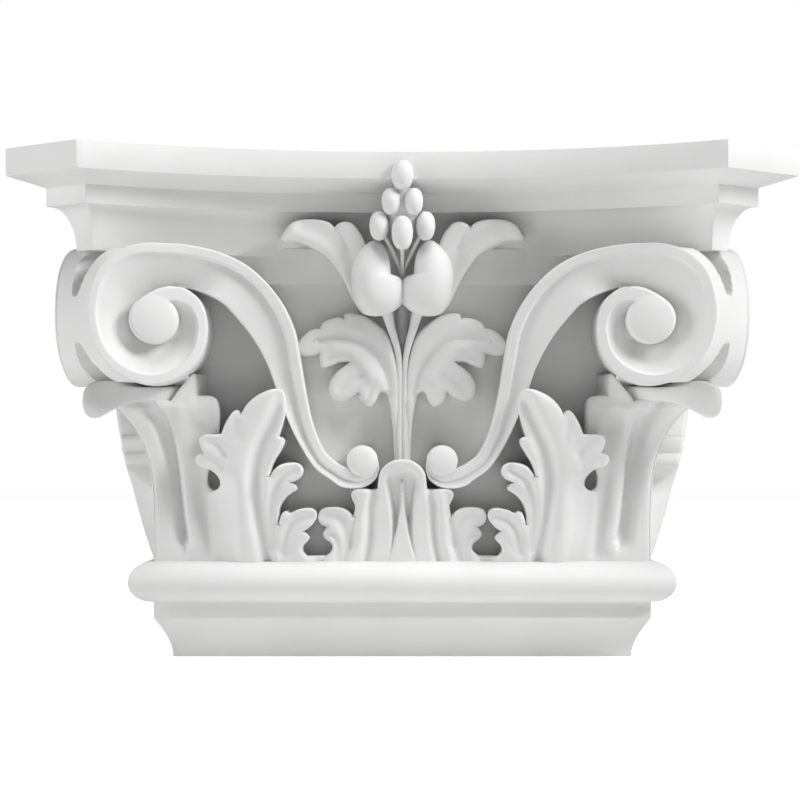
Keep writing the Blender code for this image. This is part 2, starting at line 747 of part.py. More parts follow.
def make_wall_cut():
    """What stands behind the wall's plane and is taken off."""
    beyond = HALF_WIDTH + SINK
    plan = ((-beyond, WALL), (beyond, WALL), (beyond, WALL + beyond), (-beyond, WALL + beyond))
    rows = [[(u, d, z) for u, d in plan] for z in (-SINK, TOP + SINK)]
    wall = solid("wall_cut", *skin(rows))
    carving.objects.unlink(wall)
    bpy.context.scene.collection.objects.link(wall)
    return wall


for obj in list(bpy.data.objects):
    bpy.data.objects.remove(obj)

carving = bpy.data.collections.new("carving")
bpy.context.scene.collection.children.link(carving)

capital = make_block()
carving.objects.unlink(capital)
bpy.context.scene.collection.objects.link(capital)
capital.hide_render = False
capital.display_type = "TEXTURED"
make_abacus()
make_volutes()
make_corner_bands()
make_corner_leaves()
make_inner_leaves()
make_middle_leaf()
make_curls()
make_flower()

joined = capital.modifiers.new("carving", "BOOLEAN")
joined.operation = "UNION"
joined.operand_type = "COLLECTION"
joined.collection = carving
joined.solver = "MANIFOLD"

trimmed = capital.modifiers.new("wall", "BOOLEAN")
trimmed.operation = "DIFFERENCE"
trimmed.object = make_wall_cut()
trimmed.solver = "MANIFOLD"

primer = bpy.data.materials.new("white_primer")
primer.use_nodes = True
shader = primer.node_tree.nodes["Principled BSDF"]
shader.inputs["Base Color"].default_value = (0.87, 0.87, 0.86, 1)
shader.inputs["Roughness"].default_value = 0.55
shader.inputs["Metallic"].default_value = 0.0
capital.data.materials.append(primer)
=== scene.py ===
import math

import bmesh
import bpy
import numpy as np
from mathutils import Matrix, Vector
from mathutils.geometry import delaunay_2d_cdt


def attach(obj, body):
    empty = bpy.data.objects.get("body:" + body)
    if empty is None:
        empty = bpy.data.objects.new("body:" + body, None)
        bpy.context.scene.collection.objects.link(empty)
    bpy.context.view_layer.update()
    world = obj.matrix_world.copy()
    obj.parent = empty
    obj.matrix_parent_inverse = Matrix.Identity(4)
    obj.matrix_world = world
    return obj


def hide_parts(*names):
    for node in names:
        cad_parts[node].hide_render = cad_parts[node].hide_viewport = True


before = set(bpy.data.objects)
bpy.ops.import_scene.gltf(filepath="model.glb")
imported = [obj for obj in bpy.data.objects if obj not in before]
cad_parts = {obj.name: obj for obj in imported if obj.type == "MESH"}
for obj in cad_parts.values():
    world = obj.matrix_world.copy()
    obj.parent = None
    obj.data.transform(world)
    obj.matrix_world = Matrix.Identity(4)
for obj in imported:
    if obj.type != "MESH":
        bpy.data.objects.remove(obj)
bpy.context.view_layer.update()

# The neck, its fillet and the bead. On the real capital they are the plain mitred mouldings at the foot, run
# straight along the front and returned along both sides to the wall. The underside sits flat on the shaft.
MM = 0.001
HALF_WIDTH = 183.0
WALL = 120.0
NECK_HALF = 108.9
BEAD_ROOT = 117.5
BEAD_OUT = 128.6
BEAD_BOTTOM, BEAD_TOP = 26.4, 45.6
FILLET_BOTTOM = 18.8
NECK_ARRIS = 0.5
NECK_COVE_STEPS = 12
BEAD_STEPS = 24
BEAD_STAND = 0.5
FILLET_SOFT = 0.3
# How far a hidden end runs into its neighbour
OVERLAP = 4.0
# Depths are counted back from the horns' front. This is the depth of the frame's origin, half-way through
# the neck.
MIDDLE_DEPTH = (HALF_WIDTH - NECK_HALF + WALL) / 2
forms = []


def only(obj):
    """Leaves this one object selected and active."""
    bpy.ops.object.select_all(action="DESELECT")
    obj.select_set(True)
    bpy.context.view_layer.objects.active = obj


def finish_form(obj, name):
    """Applies the form's place, faces it outwards and keeps it for the joining at the end."""
    obj.name = name
    only(obj)
    bpy.ops.object.transform_apply(location=True, rotation=True, scale=True)
    bpy.ops.object.mode_set(mode="EDIT")
    bpy.ops.mesh.select_all(action="SELECT")
    bpy.ops.mesh.normals_make_consistent(inside=False)
    bpy.ops.object.mode_set(mode="OBJECT")
    forms.append(obj)
    return obj


bpy.ops.object.select_all(action="DESELECT")
neck_depth = (WALL - (HALF_WIDTH - NECK_HALF)) * MM
wall_y = (WALL - MIDDLE_DEPTH) * MM
bpy.ops.mesh.primitive_plane_add(size=1, location=(0, wall_y - neck_depth / 2, 0))
neck = bpy.context.active_object
neck.scale = (2 * NECK_HALF * MM, neck_depth, 1)
bpy.ops.object.transform_apply(location=True, rotation=True, scale=True)
bpy.ops.object.mode_set(mode="EDIT")
shape = bmesh.from_edit_mesh(neck.data)
for vert in shape.verts:
    vert.select_set(vert.co.y < 0)
shape.select_flush_mode()
bmesh.update_edit_mesh(neck.data)
bpy.ops.mesh.bevel(affect="VERTICES", offset=NECK_ARRIS * MM, segments=2)
bpy.ops.mesh.select_all(action="SELECT")
moulding = []
for k in range(1, NECK_COVE_STEPS + 1):
    turn = k / NECK_COVE_STEPS * math.pi / 2
    out = NECK_HALF + (BEAD_ROOT - NECK_HALF) * (1 - math.cos(turn))
    moulding.append((out, FILLET_BOTTOM * k / NECK_COVE_STEPS))
moulding += [(BEAD_ROOT, FILLET_BOTTOM + FILLET_SOFT), (BEAD_ROOT, BEAD_BOTTOM - FILLET_SOFT)]
moulding.append((BEAD_ROOT + BEAD_STAND, BEAD_BOTTOM))
bead_middle, bead_radius = (BEAD_TOP + BEAD_BOTTOM) / 2, (BEAD_TOP - BEAD_BOTTOM) / 2
for k in range(1, BEAD_STEPS):
    turn = math.pi * (k / BEAD_STEPS - 0.5)
    out = BEAD_ROOT + BEAD_STAND + (BEAD_OUT - BEAD_ROOT - BEAD_STAND) * math.cos(turn)
    moulding.append((out, bead_middle + bead_radius * math.sin(turn)))
moulding.append((BEAD_ROOT - OVERLAP, BEAD_TOP))
half, height = NECK_HALF, 0.0
for next_half, next_height in moulding:
    bpy.ops.mesh.extrude_region_move(TRANSFORM_OT_translate={"value": (0, 0, (next_height - height) * MM)})
    wider = next_half / half
    deeper = (WALL - HALF_WIDTH + next_half) / (WALL - HALF_WIDTH + half)
    bpy.ops.transform.resize(value=(wider, deeper, 1), center_override=(0, wall_y, 0))
    half, height = next_half, next_height
bpy.ops.object.mode_set(mode="OBJECT")
finish_form(neck, "neck_and_bead")


# The bell: the plain block behind all the carving. Its front is flat, and a raised lip, bowed like the
# abacus, goes round its top. Only parts of it show, between the leaves, ribbons and stems.
PANEL = 79.0
LIP_BOTTOM = 176.6
LIP_OUT = 4.0
LIP_CORNER = 116.0
LIP_CUT = 4.0
COVE_BOTTOM = 190.0
COVE_IN = 12.5
SOFFIT_IN = 18.4
FILLET_STEP = 1.4
FRONT_BOW = 50.0


def put(point):
    """From millimetres sideways, back from the horns' front and up, to the frame's metres."""
    u, d, z = point
    return (u * MM, (d - MIDDLE_DEPTH) * MM, z * MM)


def mesh_form(name, points, faces):
    """One closed carved form from its points and faces."""
    mesh = bpy.data.meshes.new(name)
    mesh.from_pydata([put(p) for p in points], [], faces)
    made = bpy.data.objects.new(name, mesh)
    bpy.context.scene.collection.objects.link(made)
    work = bmesh.new()
    work.from_mesh(mesh)
    bmesh.ops.remove_doubles(work, verts=work.verts, dist=0.01 * MM)
    bmesh.ops.recalc_face_normals(work, faces=work.faces)
    work.to_mesh(mesh)
    work.free()
    forms.append(made)
    return made


def skin(rows):
    """Faces over rows of points that each go once round a closed form, with both ends closed."""
    count = len(rows[0])
    points = [p for row in rows for p in row]
    faces = [list(range(count)), list(range(len(points) - count, len(points)))]
    for r in range(len(rows) - 1):
        a, b = r * count, (r + 1) * count
        faces += [(a + c, a + (c + 1) % count, b + (c + 1) % count, b + c) for c in range(count)]
    return points, faces


def bowed(middle, corner_u, corner_d, steps=40):
    """The plan curve of a bowed front, from its middle to its corner: an arc of a circle."""
    sag = middle - corner_d
    radius = (corner_u**2 + sag**2) / (2 * sag)
    turns = [math.asin(corner_u / radius) * k / steps for k in range(steps + 1)]
    return [(radius * math.sin(t), middle - radius + radius * math.cos(t)) for t in turns]


def plan_line(front, z):
    """One plan line: the bowed front, the horns, and the bowed sides back to the wall."""
    us, ds = np.array(front).T
    right = list(front)
    for u in np.linspace(front[-1][0], HALF_WIDTH - WALL, len(front) // 2 + 1):
        right.append((HALF_WIDTH - float(np.interp(u, us, ds)), HALF_WIDTH - float(u)))
    return [(u, d, z) for u, d in right + [(-u, d) for u, d in reversed(right[1:])]]


def soften(obj, width):
    """Takes the sharpness off the arrises, as a mould and its primer do."""
    only(obj)
    bevel = obj.modifiers.new("arris", "BEVEL")
    bevel.width = width * MM
    bevel.segments = 2
    bevel.limit_method = "ANGLE"
    bevel.angle_limit = math.radians(30)
    bevel.use_clamp_overlap = True
    bpy.ops.object.modifier_apply(modifier="arris")


bpy.ops.object.select_all(action="DESELECT")
bell_foot = BEAD_TOP - OVERLAP
bell_height = LIP_BOTTOM + OVERLAP - bell_foot
bell_depth = (WALL - PANEL) * MM
bell_place = (0, wall_y - bell_depth / 2, (bell_foot + bell_height / 2) * MM)
bpy.ops.mesh.primitive_cube_add(size=1, location=bell_place)
bell = bpy.context.active_object
bell.scale = (2 * (HALF_WIDTH - PANEL) * MM, bell_depth, bell_height * MM)
finish_form(bell, "bell")
soften(bell, 0.5)
cove_inward = SOFFIT_IN + FILLET_STEP + COVE_IN
lip_front = bowed(FRONT_BOW + cove_inward - LIP_OUT, LIP_CORNER, HALF_WIDTH - LIP_CORNER - LIP_CUT)
rows = [plan_line(lip_front, z) for z in (LIP_BOTTOM, COVE_BOTTOM + OVERLAP)]
lip = mesh_form("bell_lip", *skin(rows))
soften(lip, 0.7)


# The abacus: the concave-sided slab on top, with a fascia, a slanted soffit, a fillet and a cove. Its sides
# are bowed inwards and its front corners, the horns, are cut off square to the diagonal. Its back is at the
# wall.
TOP = 237.0
FASCIA = 12.6
SOFFIT_DROP = 5.5
FILLET = 8.6
HORN_CUT = 37.2
HORN_TAPER = 0.105
COVE_STEPS = 14
fillet_top = TOP - FASCIA - SOFFIT_DROP
cove_top = fillet_top - FILLET
profile = [(cove_inward, COVE_BOTTOM)]
for k in range(1, COVE_STEPS + 1):
    turn = k / COVE_STEPS * math.pi / 2
    rise = (cove_top - COVE_BOTTOM) * math.sin(turn)
    profile.append((cove_inward - COVE_IN * (1 - math.cos(turn)), COVE_BOTTOM + rise))
profile += [(SOFFIT_IN, cove_top), (SOFFIT_IN, fillet_top), (0, TOP - FASCIA), (0, TOP)]
rows = []
for inward, z in profile:
    corner_u = HALF_WIDTH - HORN_CUT - HORN_TAPER * inward
    rows.append(plan_line(bowed(FRONT_BOW + inward, corner_u, inward), z))
abacus = mesh_form("abacus", *skin(rows))
soften(abacus, 0.35)


# The ribbons and volutes. Each ribbon is a channelled band with a raised rim. It starts round a small boss
# by the middle leaf, swings out over the bell and winds up into a volute under the horn. The volutes are
# splayed a little, so that they stand out furthest at the corner.
EYE_U, EYE_Z = 114.1, 157.9
VOLUTE_FACE = 22.2
VOLUTE_EDGE = 143.6
VOLUTE_SPLAY = 0.24
VOLUTE_RADIUS = 30.0
EYE_RADIUS = 11.2
CHANNEL = 11.0
RIBBON_CHANNEL = 2.9
# The step down from the rim into the channel, as wide as it is deep
RIM_STEP = 1.3
EDGE_ROUND = 0.85
NEAR_EDGE = (0, 0.08, 0.25, 0.5, EDGE_ROUND)
CHANNEL_SHARES = (0, 0.06, 0.14, 0.24, 0.35, 0.46, 0.57, 0.68, 0.78, 0.87)
RIBBON_ROWS = 150
RIM_WIDTH = 4.0
# Where along the ribbon it starts to turn into the volute, and over how much of its length
VOLUTE_FROM, VOLUTE_OVER = 11.2, 2.8
# How far the carving's backs are let into the bell
SINK = 4.0
# Place along the ribbon, rim edge (u, z), free edge (u, z) and depth, from the small curl up to the volute
RIBBON = (
    (0, 13.6, 94.6, 12.2, 94.9, 58.6),
    (0.7, 13.2, 92.4, 11.2, 91.4, 58.6),
    (1.3, 14.0, 90.2, 11.2, 87.6, 58.6),
    (2, 16.0, 88.2, 13.2, 83.6, 58.6),
    (2.8, 20.3, 87.3, 19.4, 80.2, 58.6),
    (3.6, 25.0, 89.3, 28.2, 80.6, 58.2),
    (4.4, 30.5, 92.0, 34.0, 84.3, 57.6),
    (5.2, 36.4, 97.2, 41.8, 90.5, 56.6),
    (6, 41.4, 108.3, 50.2, 104.4, 54.8),
    (7, 45.0, 123.3, 57.5, 122.3, 52.0),
    (8, 47.4, 137.6, 62.7, 137.2, 48.0),
    (9, 50.4, 154.0, 69.0, 149.2, 43.4),
    (10, 56.6, 167.4, 76.2, 158.6, 39.8),
    (11, 64.7, 177.4, 83.1, 165.8, 37.0),
    (12, 75.2, 185.3, 91.0, 170.2, 35.0),
    (13, 88.2, 190.3, 99.8, 172.8, 33.2),
    (14, 102.0, 192.8, 107.6, 171.5, 32.0),
)
# Turn in degrees, outer and inner edge of the band as shares of the volute's radius, and the rim's width
SPIRAL = (
    (88, 1.172, 0.42, 4.3),
    (110, 1.172, 0.35, 4.0),
    (135, 1.125, 0.34, 3.8),
    (160, 1.025, 0.34, 3.7),
    (180, 0.985, 0.35, 3.7),
    (225, 0.985, 0.35, 4.0),
    (267, 1.003, 0.36, 4.4),
    (293, 0.967, 0.36, 4.4),
    (316, 0.917, 0.35, 4.2),
    (341, 0.84, 0.34, 4.0),
    (360, 0.80, 0.33, 4.1),
    (380, 0.765, 0.33, 5.0),
    (398, 0.705, 0.35, 6.8),
    (414, 0.625, 0.37, 7.6),
)


def smooth(values, t):
    """Reads a smooth curve through rows of numbers, the first of each being the place along it."""
    table = np.array(values, float)
    x, y = table[:, 0], table[:, 1:]
    slopes = np.gradient(y, x, axis=0)
    i = int(np.clip(np.searchsorted(x, t) - 1, 0, len(x) - 2))
    step = x[i + 1] - x[i]
    s = np.clip((t - x[i]) / step, 0, 1)
    a = (1 + 2 * s) * (1 - s) ** 2 * y[i] + s * s * (3 - 2 * s) * y[i + 1]
    b = s * (1 - s) ** 2 * step * slopes[i] - s * s * (1 - s) * step * slopes[i + 1]
    return a + b


def ease(x):
    """A soft step from 0 to 1."""
    x = np.clip(x, 0, 1)
    return x * x * (3 - 2 * x)


def volute_depth(u):
    """How far back the splayed face of a volute lies at a place."""
    return VOLUTE_FACE + VOLUTE_SPLAY * np.maximum(VOLUTE_EDGE - np.asarray(u, float), 0)


def band_section(outer, inner, depth, free, rim_width):
    """A cross-section of the band: its round rim, then the channel, deep on a volute and shallow on a ribbon.

    A volute's depth follows its splay and is given as None. Free is 1 on the ribbon and 0 on the volute.
    """
    outer, inner = Vector(outer), Vector(inner)
    width = (inner - outer).length
    rim = min(rim_width, (0.42 + 0.58 * (rim_width > 5.5)) * width)
    bevel = min(RIM_STEP, 0.3 * (width - rim) + 0.05)
    places = [*NEAR_EDGE, 0.5 * rim, rim - 0.8, rim - 0.3, rim, rim + 0.25 * bevel, rim + 0.6 * bevel]
    left = width - rim - bevel
    places += [rim + bevel + left * s for s in CHANNEL_SHARES]
    places += [width - e for e in NEAR_EDGE]
    deep = CHANNEL * min(1, max(0.0, width - rim) / 12)
    row = []
    for x in sorted(min(max(p, 0), width) for p in places):
        step = float(ease((x - rim) / bevel))
        s = max(0.0, (x - rim) / max(width - rim, 0.01))
        volute = min(deep, RIM_STEP) * step + max(0.0, deep - RIM_STEP) * s**1.15
        ribbon = min(RIBBON_CHANNEL, 0.25 * width) * step * (1 - s) ** 0.8 + 0.15 * (1 - s)
        sunk = (1 - free) * volute + free * ribbon
        edge = x if free == 0 else min(x, width - x)
        if edge < EDGE_ROUND:
            sunk += EDGE_ROUND - math.sqrt(EDGE_ROUND**2 - (EDGE_ROUND - edge) ** 2)
        at = outer.lerp(inner, x / width)
        face = depth if depth is not None else float(volute_depth(at.x))
        row.append((at.x, face + sunk, at.y))
    back = PANEL + SINK
    return row + [(inner.x, back, inner.y), (outer.x, back, outer.y)]


def spiral_places(turn):
    """What band_section needs at a turn of the volute, in degrees."""
    outer, inner, rim = smooth(SPIRAL, turn)
    a = math.radians(turn)
    edges = []
    for share in (outer, inner):
        reach = share * VOLUTE_RADIUS
        edges.append((EYE_U - reach * math.cos(a), EYE_Z + reach * math.sin(a)))
    return edges[0], edges[1], None, 0, float(rim)


def mirrored(points, faces, name, front_only=False):
    """A carved form on the right and left of the front, and the same form turned round on both sides."""
    sides = [("right", lambda p: p), ("left", lambda p: (-p[0], p[1], p[2]))]
    if not front_only:
        sides.append(("side_right", lambda p: (HALF_WIDTH - p[1], HALF_WIDTH - p[0], p[2])))
        sides.append(("side_left", lambda p: (p[1] - HALF_WIDTH, HALF_WIDTH - p[0], p[2])))
    for where, turn in sides:
        mesh_form(f"{name}_{where}", [turn(p) for p in points], faces)


rows = []
for k in range(RIBBON_ROWS):
    t = RIBBON[-1][0] * k / (RIBBON_ROWS - 1)
    rim_u, rim_z, free_u, free_z, depth = smooth(RIBBON, t).tolist()
    at_volute = float(ease((t - VOLUTE_FROM) / VOLUTE_OVER))
    depth += at_volute * (float(volute_depth((rim_u + free_u) / 2)) - depth)
    width = RIM_WIDTH + 0.3 * at_volute
    rows.append(band_section((rim_u, rim_z), (free_u, free_z), depth, 1 - at_volute, width))
for turn in range(90, 273, 3):
    rows.append(band_section(*spiral_places(turn)))
mirrored(*skin(rows), "ribbon")
# The last turn of the coil is a form of its own, because it runs inside the first
rows = [band_section(*spiral_places(turn)) for turn in np.arange(268, 414.1, 2).tolist()]
mirrored(*skin(rows), "volute_coil")


def inside_of(points, outline):
    """Whether each point lies within the outline."""
    at = np.array(points, float)
    a = np.array(outline, float)
    b = np.roll(a, -1, axis=0)
    u, z = at[:, :1], at[:, 1:]
    spans = (a[:, 1] > z) != (b[:, 1] > z)
    rise = np.where(b[:, 1] == a[:, 1], 1e-9, b[:, 1] - a[:, 1])
    cross = a[:, 0] + (z - a[:, 1]) * (b[:, 0] - a[:, 0]) / rise
    return (spans & (u < cross)).sum(1) % 2 == 1


def far_from(points, line, closed=False):
    """Each point's distance to a line of points, and its side: 1 on the left of the line, -1 on the right."""
    at = np.array(points, float)
    a = np.array(line, float)
    b = np.roll(a, -1, axis=0)
    if not closed:
        a, b = a[:-1], b[:-1]
    best, side = np.full(len(at), 1e9), np.ones(len(at))
    for p, q in zip(a, b):
        along = q - p
        s = np.clip(((at - p) @ along) / max(along @ along, 1e-9), 0, 1)
        off = at - p - s[:, None] * along
        far = np.hypot(*off.T)
        turn = np.where(along[0] * off[:, 1] - along[1] * off[:, 0] >= 0, 1, -1)
        side = np.where(far < best, turn, side)
        best = np.minimum(best, far)
    return best, side


def curve(points, step=1.2, closed=True):
    """A smooth line through points (u, z). A third value of 1 marks a sharp corner."""
    at = [Vector(p[:2]) for p in points]
    sharp = [len(p) == 3 for p in points]
    count = len(at)
    out = []
    for i in range(count if closed else count - 1):
        j = (i + 1) % count
        a, b = at[i], at[j]
        before, after = at[i - 1], at[(j + 1) % count]
        ends_a = sharp[i] or (not closed and i == 0)
        ends_b = sharp[j] or (not closed and j == count - 1)
        long = (b - a).length
        go = (b - a) if ends_a else (b - before) * (long / ((b - a).length + (a - before).length))
        come = (b - a) if ends_b else (after - a) * (long / ((b - a).length + (after - b).length))
        parts = max(2, round(long / step))
        for k in range(parts):
            s = k / parts
            place = a * ((1 + 2 * s) * (1 - s) ** 2) + b * (s * s * (3 - 2 * s))
            place += go * (s * (1 - s) ** 2) - come * (s * s * (1 - s))
            out.append((place.x, place.y))
    if not closed:
        out.append(tuple(at[-1]))
    return out


def relief(outline, face, back, roll=2.5, drop=2.0, grid=1.25):
    """A carved form in an outline, with a face of its own depth and a flat back.

    Its edge rolls over: roll is how wide, drop how deep. The face's points are three rings inside the outline
    and an even lattice within them. The third result is the number of points on the face.
    """
    ring_at = np.array(outline)
    along = np.roll(ring_at, -1, axis=0) - np.roll(ring_at, 1, axis=0)
    inward = np.stack([-along[:, 1], along[:, 0]], 1) / np.maximum(np.hypot(*along.T), 1e-6)[:, None]
    kept, cells = [], set()
    for reach in (0.12, 0.32, 0.6):
        for sign in (1, -1):
            ring = ring_at + sign * inward * reach * roll
            ring = ring[inside_of(ring, outline)]
            if len(ring):
                ring = ring[far_from(ring, outline, closed=True)[0] > 0.9 * reach * roll]
            for p in ring:
                cell = (round(p[0] / 0.7), round(p[1] / 0.7), reach)
                if cell not in cells:
                    cells.add(cell)
                    kept.append(tuple(p))
    low, high = ring_at.min(0), ring_at.max(0)
    lattice = []
    for row, z in enumerate(np.arange(low[1], high[1], grid * 0.87)):
        lattice += [(u, z) for u in np.arange(low[0] + grid * (row % 2) / 2, high[0], grid)]
    lattice = np.array(lattice)
    lattice = lattice[inside_of(lattice, outline)]
    lattice = lattice[far_from(lattice, outline, closed=True)[0] > 0.85 * roll]
    corners = [Vector(p) for p in outline + kept + [tuple(p) for p in lattice]]
    flat, _, triangles, *_ = delaunay_2d_cdt(corners, [], [list(range(len(outline)))], 1, 1e-6)
    flat = np.array([(p.x, p.y) for p in flat])
    edge = far_from(flat, outline, closed=True)[0]
    sunk = drop * (1 - np.sqrt(1 - (1 - np.minimum(edge / roll, 1)) ** 2))
    depth = face(flat[:, 0], flat[:, 1]) + sunk
    front = [(u, d, z) for (u, z), d in zip(flat.tolist(), depth.tolist())]
    rear = [(u, back, z) for u, z in flat.tolist()]
    count = len(front)
    uses = {}
    for t in triangles:
        for a, b in zip(t, (t[1], t[2], t[0])):
            uses.setdefault((min(a, b), max(a, b)), []).append((a, b))
    rim = [pairs[0] for pairs in uses.values() if len(pairs) == 1]
    used = sorted({i for pair in rim for i in pair})
    place = {i: count + k for k, i in enumerate(used)}
    faces = [tuple(t) for t in triangles] + [(b, a, place[a], place[b]) for a, b in rim]
    chain, start = {b: a for a, b in rim}, rim[0][1]
    around, at = [start], chain[start]
    while at != start:
        around.append(at)
        at = chain[at]
    faces.append(tuple(place[i] for i in around))
    return front + [rear[i] for i in used], faces, count


def flute(u, z, line, half, depth, other=None):
    """How deep a groove along a line cuts. A second half width makes its right flank another slope."""
    far, side = far_from(np.stack([u, z], 1), curve(line, 2.0, closed=False))
    near = np.minimum(far / np.where(side > 0, half, other or half), 1)
    return depth * (1 - near**2) ** 2


def fluted(depth, u, z, flutes):
    """Cuts a table of flutes into a face: each one's line, half width, depth and, if given, other half width.

    A depth below 0 makes a ridge.
    """
    for line, *sizes in flutes:
        depth = depth + flute(u, z, line, *sizes)
    return depth


# The volute's eye: a low dome in the middle of each volute. Its top runs out into the coil, so that the
# channel starts as a hook beside it.
EYE_RISE = 1.8
# The eye's reach at each turn in degrees: long where it runs out into the coil, and round beyond
EYE_TURNS = (40, 54, 66, 79, 94, 109, 125)
EYE_REACHES = (18.4, 18.6, 16.9, 14.8, 12.8, 11.6, EYE_RADIUS)
# The outline's last point, between the round part and the hook
HOOK_TURN, HOOK_REACH = 41, 14.6
outline = []
for turn in range(40, 409, 6):
    reach = float(np.interp(turn, EYE_TURNS, EYE_REACHES))
    a = math.radians(turn)
    outline.append((EYE_U - reach * math.cos(a), EYE_Z + reach * math.sin(a)))
a = math.radians(HOOK_TURN)
outline.append((EYE_U - HOOK_REACH * math.cos(a), EYE_Z + HOOK_REACH * math.sin(a)))


def eye_face(u, z):
    """The depth of the dome's face at a place."""
    far = np.hypot(u - EYE_U, z - EYE_Z) / EYE_RADIUS
    return volute_depth(u) - EYE_RISE * np.clip(1 - far**2, 0, 1) + 0.05


points, faces, _ = relief(outline, eye_face, PANEL, roll=1.6, drop=1.5, grid=1.0)
mirrored(points, faces, "volute_eye")

# The web between a front volute and its neighbour on the side: a flat across the corner. Above and below
# its middle it has a narrow notch, where the two round volutes part again.
WEB_BELOW, WEB_ABOVE = 28.5, 33.0
NOTCH_FROM = 10.8
NOTCH_PLACE = 0.42
NOTCH_DEPTH = 12.0
edge_line = [spiral_places(turn)[0] for turn in range(100, 266, 2)]
edge_z = np.array([z for _, z in edge_line])[::-1]
edge_u = np.array([u for u, _ in edge_line])[::-1]
rows = []
for z in np.linspace(EYE_Z - WEB_BELOW, EYE_Z + WEB_ABOVE, 124).tolist():
    rise = z - EYE_Z
    near_u = float(np.interp(z, edge_z, edge_u)) - 0.4
    near = np.array((near_u, float(volute_depth(near_u)) + 0.9))
    far = np.array((HALF_WIDTH - near[1], HALF_WIDTH - near[0]))
    open_half = 0.02 + 0.12 * math.sqrt(min(max(0.0, (abs(rise) - NOTCH_FROM) / 13), 1))
    sinks = float(ease((abs(rise) - 10.6) / 1.8))
    row = []
    for s in np.linspace(0, 1, 41):
        trench = float(ease((open_half - abs(s - NOTCH_PLACE)) / 0.05 + 0.5)) * sinks
        inset = NOTCH_DEPTH * trench - 0.7 * math.sin(math.pi * s)
        at = near + (far - near) * s + np.array((-1, 1)) / math.sqrt(2) * inset
        row.append((float(at[0]), float(at[1]), z))
    # Its hidden back, inside the volutes
    for u, d in ((far[0] - 3, far[1] + 5), (near[0] - 5, far[1] + 5), (near[0] - 5, near[1] + 3)):
        row.append((float(u), float(d), z))
    rows.append(row)
mirrored(*skin(rows), "corner_web", front_only=True)


# The corner leaves. Each stands against the corner of the bell with its ridge on the diagonal, one half on
# the front and one on the side. Both halves are deeply fluted. The top rolls over under the volutes as a
# hood.
LEAF_FOOT = 66.0
LEAF_BASE = 43.0


def corner_reach(z):
    """How far out the corner leaf's ridge stands at a height: it bends outwards towards its top."""
    return HALF_WIDTH - LEAF_FOOT + 17 * np.clip((np.asarray(z, float) - 47) / 71, 0, 1) ** 4.5


RIDGE_TOP = 122.0
ridge = [(float(corner_reach(z)), float(z)) for z in np.linspace(LEAF_BASE, RIDGE_TOP, 70)]
edge = (
    (122.0, 123.5, 1),
    (108.5, 121.0, 1),
    (106.0, 124.6),
    (102.8, 128.6),
    (99.4, 132.9),
    (97.6, 133.9),
    (96.6, 132.0),
    (96.4, 123.6, 1),
    (90.0, 123.5),
    (87.2, 122.0),
    (86.1, 118.0),
    (86.2, 108.0),
    (87.4, 99.0),
    (90.4, 91.0),
    (91.9, 86.4),
    (92.1, 82.9),
    (91.1, 80.1),
    (89.0, 78.9),
    (82.0, 78.2, 1),
    (80.5, LEAF_BASE, 1),
)
# The deep groove beside the ridge, steep towards the ridge
GROOVE = (
    ((121.5, 121.5), (114.6, 116.0), (111.0, 110.5), (109.2, 105.0), (106.9, 92.5), (105.4, 79.7),
     (103.5, 64.0), (102.0, 55.0)), 9.0, 5.6, 2.6,
)
CORNER_FLUTES = (
    (((118.0, 110.0), (113.0, 95.0), (110.8, 78.0), (109.2, 58.0)), 2.8, -0.9),
    (((104.5, 116.0), (103.0, 98.0), (101.0, 80.0), (98.0, 52.0)), 5.0, -1.2),
    (((95.5, 108.0), (95.0, 88.0), (93.5, 70.0), (90.5, 50.0)), 4.5, 1.0),
)


def corner_face(u, z):
    """The depth of the front half's face at a place."""
    reach = corner_reach(z)
    share = np.clip((u - 84) / (reach - 84), 0, 1)
    depth = LEAF_FOOT - (reach - (HALF_WIDTH - LEAF_FOOT)) * (0.45 + 0.55 * share) - 0.6
    fade = ease((z - 47) / 14)
    depth += flute(u, z, *GROOVE) * (0.15 + 0.85 * fade)
    depth = fluted(depth, u, z, CORNER_FLUTES)
    depth += 1.0 * ease((z - 112) / 10) * ease((100 - u) / 4)
    line = np.interp(z, [45, 58, 70, 79], [88.5, 89.6, 91.0, 90.0])
    return depth + 0.33 * np.maximum(line - u, 0) * ease((84 - z) / 6)


outline = ridge + curve(edge, closed=False)
points, faces, count = relief(outline, corner_face, PANEL + SINK, roll=2.2, drop=1.8)
# The ridge's points move onto the diagonal, where the mirrored half meets them, and the faces between them go
BELL_CORNER = HALF_WIDTH - PANEL - SINK
HALF_BACK = BELL_CORNER - 8
on_ridge = set()
for i, (u, d, z) in enumerate(points):
    if abs(u - float(corner_reach(z))) < 0.06 and LEAF_BASE - 0.01 <= z <= RIDGE_TOP + 0.01:
        on_ridge.add(i)
        points[i] = (u, HALF_WIDTH - u, z) if i < count else (BELL_CORNER, PANEL + SINK, z)
faces = [f for f in faces if not (len(f) == 4 and all(i in on_ridge for i in f))]
for i, (u, d, z) in enumerate(points):
    if i >= count and i not in on_ridge and u > HALF_BACK:
        points[i] = (HALF_BACK, d, z)
whole = points + [(HALF_WIDTH - d, HALF_WIDTH - u, z) for u, d, z in points]
both = faces + [tuple(i + len(points) for i in reversed(f)) for f in faces]
mirrored(whole, both, "corner_leaf", front_only=True)

